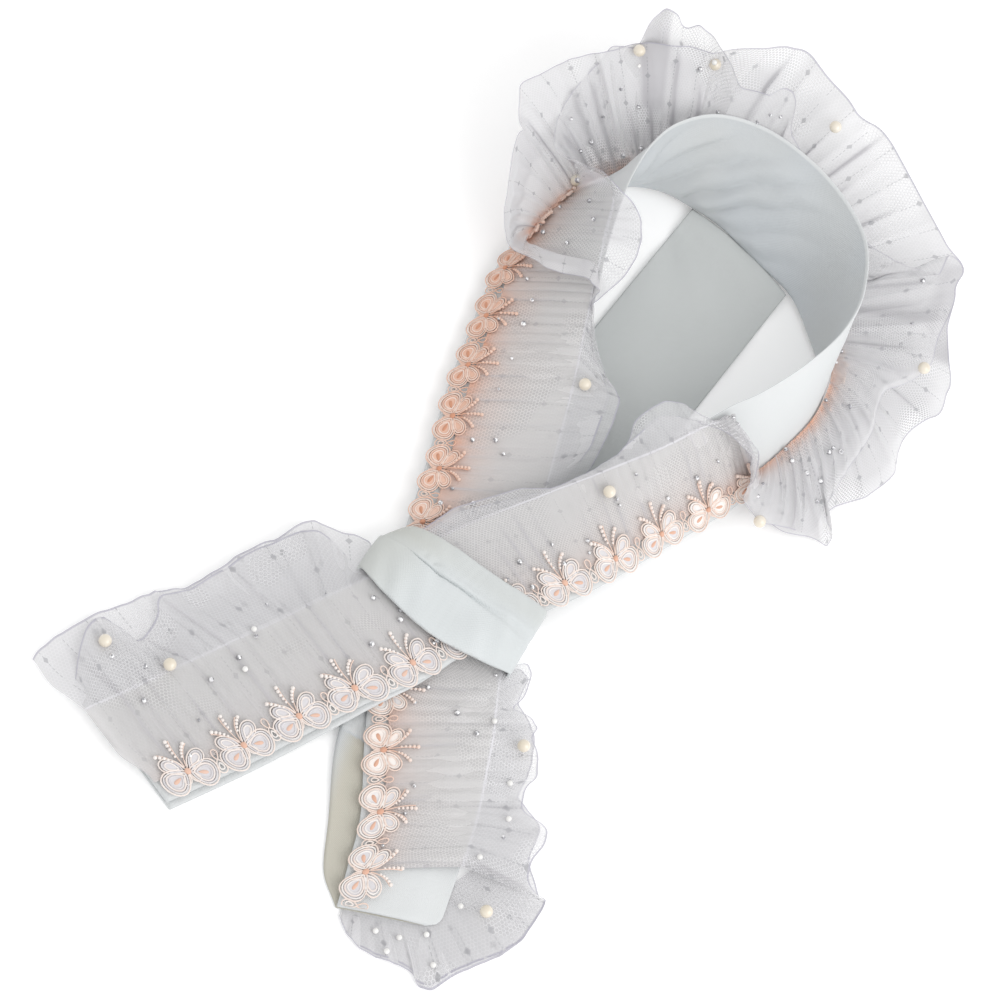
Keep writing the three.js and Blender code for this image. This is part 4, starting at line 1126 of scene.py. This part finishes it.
def bow_cords():
    """One bow in flat measure (along, inward from the hem, height): two petals of four nested
    cords over a pad with a small eye, two smaller leaf wings, two short ends, a knot and a bud
    that joins it to the next bow. Returns points, faces and a tone for every point, from lilac
    grey at 0 to deep orange at 1."""
    parts, tones = [], []

    def add(part, tone):
        parts.append(part)
        tones.append(np.full(len(part[0]), tone))

    def cord(outline, thick, tone):
        path = np.concatenate([outline, np.full((len(outline), 1), CORD_HEIGHT)], axis=1)
        add(tubes(path[None], thick, 5, closed=True), tone)

    def nested(outline, middle, shares, thick, tones_of):
        for share, tone in zip(shares, tones_of):
            cord(middle + (outline - middle) * share, thick, tone)

    for side in (-1, 1):
        flip = np.array([side, 1.0])
        knot = np.array([0.3, KNOT])
        outer = turned(petal(13.0, 12.8, 26), PETAL_LEAN, knot) * flip
        middle = turned(np.array([[6.9, 0.0]]), PETAL_LEAN, knot)[0] * flip
        nested(outer, middle, (1.0, 0.83, 0.66, 0.48), 0.4, (0.24, 0.02, 0.2, 0.0))
        add(cushion(middle + (outer - middle) * 0.86, middle, 0.22), PAD_SHADE_TONE)
        eye = turned(petal(5.0, 2.1, 12) + np.array([3.9, 0]), PETAL_LEAN, knot) * flip
        add(cushion(eye, eye.mean(axis=0), 0.7), 0.64)
        wing = turned(petal(12.2, 6.6, 22), WING_LEAN, knot) * flip
        middle = turned(np.array([[7.2, 0.0]]), WING_LEAN, knot)[0] * flip
        nested(wing, middle, (1.0, 0.74, 0.48), 0.36, (0.22, 0.02, 0.16))
        add(cushion(middle + (wing - middle) * 0.8, middle, 0.16), PAD_SHADE_TONE)
        small = turned(petal(6.4, 3.2, 14), TAIL_LEAN, knot) * flip
        cord(small, 0.34, 0.2)
    bud = turned(petal(7.0, 4.0, 16), -90, (BOW_PITCH / 2, KNOT + 0.6))
    nested(bud, bud.mean(axis=0), (1.0, 0.5), 0.34, (0.24, 0.1))
    tip = turned(petal(5.0, 2.6, 12), 90, (BOW_PITCH / 2, KNOT + 0.4))
    cord(tip, 0.32, 0.35)
    add(balls(np.array([[0, KNOT, 0.9]]), [1.45], 10, 6, np.array([0.95, 1.1, 0.7])), 0.7)
    points, faces = join(parts)
    return points, faces, np.concatenate(tones)


def spray_stems():
    """Bead stems in flat measure: middles of the beads along three curved stems over the knot."""
    stems = []
    for lean, curl, reach in ((-24, -14, 14.5), (-9, 6, 16.0), (8, 16, 13.5)):
        steps = np.linspace(2.5, reach, 8)
        angle = np.radians(lean + curl * (steps / reach)**2)
        stems.append(np.stack([steps * np.sin(angle), KNOT + steps * np.cos(angle), 0.6 + 0 * steps], -1))
    return np.array(stems)


def bead_sprays():
    """Beads of one bow in flat measure: the outer five places of every stem, larger at the tip."""
    stems = spray_stems()[:, 3:]
    return stems.reshape(-1, 3), np.tile(np.linspace(0.65, 1.0, stems.shape[1]), len(stems))


def bow_middles():
    """Length along the hem of every bow's knot."""
    count = int(HEM_LENGTH // BOW_PITCH)
    return (HEM_LENGTH - count * BOW_PITCH) / 2 + BOW_PITCH * (np.arange(count) + 0.5)


def pushed(length, inward):
    """Distance in from the hem, less along the upper strand's far side, where the lace is pushed
    together towards the hem."""
    u = place(length)
    crowded = smooth(u, 24.2, 25.2) * smooth(29.6 - u, 0, 1)
    return inward * (1 - 0.15 * crowded) - 0.8 * crowded


def bow_lace():
    """The edging: the flat bow carried to each place along the hem and bent over the surface."""
    points, faces, tone = bow_cords()
    stems, stem_faces = tubes(spray_stems(), 0.3, 4)
    faces = np.concatenate([faces, stem_faces + len(points)])
    points = np.concatenate([points, stems])
    tone = np.concatenate([tone, np.full(len(stems), 0.4)])
    parts, tones = [], []
    for index, middle in enumerate(bow_middles()):
        swing = math.radians(6 * hashed(index, 43))
        size = 1 + 0.04 * hashed(index, 41)
        x, q = points[:, 0] * size, points[:, 1] - KNOT
        along = np.clip(middle + x * math.cos(swing) - q * math.sin(swing), 0, HEM_LENGTH)
        inward = pushed(along, KNOT + x * math.sin(swing) + q * math.cos(swing))
        parts.append((over_ruffle(along, inward, points[:, 2]), faces))
        blush = blush_at(place(along))
        tones.append(tone + np.where(tone < 0, 0.75 * smooth(blush, 0.3, 1.1), 0.4 * (blush - 0.3)))
    points, faces = join(parts)
    piece = build_mesh("bow_cords", points, faces, None, LACE)
    attribute(piece, "tone", np.concatenate(tones))
    return piece


def lace_beads():
    """Small cream beads on the stems over each bow."""
    flat, radii = bead_sprays()
    middles = bow_middles()
    length = np.clip(middles[:, None] + flat[None, :, 0], 0, HEM_LENGTH)
    centres = over_ruffle(length, pushed(length, flat[:, 1]), flat[:, 2])
    points, faces = balls(centres.reshape(-1, 3), np.tile(radii, len(middles)), 7, 4)
    piece = build_mesh("spray_beads", points, faces, None, LACE)
    tone = 0.1 + 0.45 * (blush_at(place(length)) - 0.2)
    attribute(piece, "tone", np.repeat(tone.ravel(), len(points) // tone.size))
    return piece


def scattered_stones():
    """Rhinestones strewn over the ruffle at seeded places, thicker towards the lace."""
    draw = np.random.default_rng(7)
    count = 130
    u = draw.uniform(0.3, NET_END - 0.3, count)
    v = draw.uniform(0.05, 1, count)**1.4 * 0.8
    side = np.where(UPPER.base(u, v)[1] < 0.9, 1.0, -1.0)
    centres = UPPER.points(u, v, side * 0.9)
    points, faces = balls(centres, draw.uniform(0.8, 1.5, count), 8, 4)
    return build_mesh("rhinestones", points, faces, None, CRYSTAL)


def pearls():
    """The round pearls, each on its CAD bead's middle and as wide as it."""
    made = []
    for number in sorted({*UPPER_PEARLS, *UNDER_PEARLS, *END_PEARLS}):
        node = f"pearl_{number:02d}"
        points, faces = balls(pearl_middle(number)[None], [PEARL], 32, 20)
        piece = build_mesh(f"round_{node}", points, faces, None, PEARL_FINISH)
        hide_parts(node)
        made.append(piece)
    return made


# Small beads: section and share of the way across the net, then places on its end
SMALL_BEAD = 1.4
SMALL_BEADS = np.array([
    [1.5, 0.36], [1.85, 0.56], [32.6, 0.7], [33.6, 0.85], [34.1, 0.78], [34.8, 0.66], [20.6, 0.8],
    [19.2, 0.86],
])
END_BEADS = np.array([
    [81, -112, 3.9], [67, -141, 2.7], [57, -145, 2.3], [76, -132, 2.4], [86, -142, 3.2], [66, -150, 3.5],
])


def small_beads():
    """Smaller cream beads, on the net near both tails and on its end below the lower tail."""
    on_net = UPPER.points(SMALL_BEADS[:, 0], SMALL_BEADS[:, 1], SMALL_BEAD)
    centres = np.concatenate([on_net, END_BEADS])
    points, faces = balls(centres, [SMALL_BEAD] * len(centres), 14, 8)
    return build_mesh("small_beads", points, faces, None, BEAD_FINISH)


def tidy_normals(piece):
    """Merges doubles and turns every face outwards on a closed piece."""
    work = bmesh.new()
    work.from_mesh(piece.data)
    bmesh.ops.remove_doubles(work, verts=work.verts, dist=1e-6)
    bmesh.ops.recalc_face_normals(work, faces=work.faces)
    work.to_mesh(piece.data)
    work.free()


band_piece = collar_band()
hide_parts("collar_band")
panel_piece = back_panel()
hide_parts("back_panel")
keeper_piece = keeper_loop()
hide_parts("keeper_loop")
upper_net, upper_end = net_layer("upper_net", UPPER, UPPER_TULLE)
under_net, under_end = net_layer("under_net", UNDER, UNDER_TULLE)
nets = (upper_net, upper_end, under_net, under_end)
for piece in nets:
    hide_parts("tulle_ruffle")
lace_piece = bow_lace()
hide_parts("bow_lace")
beads_piece = lace_beads()
stones_piece = scattered_stones()
small_piece = small_beads()
pearl_pieces = pearls()

for piece in (lace_piece, beads_piece, stones_piece, small_piece, keeper_piece, *pearl_pieces):
    tidy_normals(piece)
for piece in (band_piece, panel_piece, keeper_piece, *nets, lace_piece, beads_piece,
              stones_piece, small_piece, *pearl_pieces):
    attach(piece, "root")


# Camera, light and floor

PHOTO_SIZE = 1001
ORIGIN_PIXEL = (445.0, 618.0)  # where the frame's origin falls in the photograph
VIEW_DISTANCE = 1.7
METRES_PER_PIXEL = 0.455 * MM
VIEW_ROLL = math.atan2(0.6, 0.8)
FLOOR_SIZE = 8000.0


def stand(name, data, right, up, ahead, spot):
    """Puts a camera or a light at spot, looking ahead, with its own right and up directions."""
    thing = bpy.data.objects.new(name, data)
    thing.matrix_world = Matrix((*zip(right, up, -ahead, spot), (0, 0, 0, 1)))
    bpy.context.scene.collection.objects.link(thing)
    return thing


def camera():
    """A camera on the -Y side, tipped down, rolled so that the collar runs to the upper right, and
    set so that the origin falls on its pixel."""
    flat_right = np.array([1.0, 0, 0])
    flat_up = np.array([0, math.sin(VIEW_SLOPE), math.cos(VIEW_SLOPE)])
    ahead = np.array([0, math.cos(VIEW_SLOPE), -math.sin(VIEW_SLOPE)])
    right = math.cos(VIEW_ROLL) * flat_right + math.sin(VIEW_ROLL) * flat_up
    up = -math.sin(VIEW_ROLL) * flat_right + math.cos(VIEW_ROLL) * flat_up
    middle = PHOTO_SIZE / 2
    shift_right = (ORIGIN_PIXEL[0] - middle) * METRES_PER_PIXEL
    shift_up = (middle - ORIGIN_PIXEL[1]) * METRES_PER_PIXEL
    spot = -(right * shift_right + up * shift_up + ahead * VIEW_DISTANCE)
    data = bpy.data.cameras.new("photo view")
    data.sensor_width = 36
    data.lens = 36 * VIEW_DISTANCE / (PHOTO_SIZE * METRES_PER_PIXEL)
    bpy.context.scene.camera = stand("photo view", data, right, up, ahead, spot)


def lamp(name, spot, target, size, power):
    """A square soft light at spot that faces target."""
    data = bpy.data.lights.new(name, "AREA")
    data.size = size
    data.energy = power
    ahead = unit(np.array(target) - np.array(spot))
    right = unit(np.cross(ahead, [0, 0, 1.0]))
    stand(name, data, right, np.cross(right, ahead), ahead, spot)


def floor():
    """A wide plain board just under the collar."""
    uv = np.array([[0, 0], [1, 0], [1, 1], [0, 1]], float)
    points = np.concatenate([FLOOR_SIZE * (uv - 0.5), np.full((4, 1), -0.05)], axis=1)
    board = build_mesh("floor", points, np.array([[0, 1, 2, 3]]), uv, table_top())


camera()
floor()
lamp("key", (1.4, -0.3, 1.2), (0, 0.1, 0), 1.6, 14)
world = bpy.data.worlds.new("studio")
world.use_nodes = True
world.node_tree.nodes["Background"].inputs[0].default_value = (1.0, 1.0, 1.0, 1)
world.node_tree.nodes["Background"].inputs[1].default_value = 0.93
bpy.context.scene.world = world
bpy.context.scene.view_settings.view_transform = "Standard"
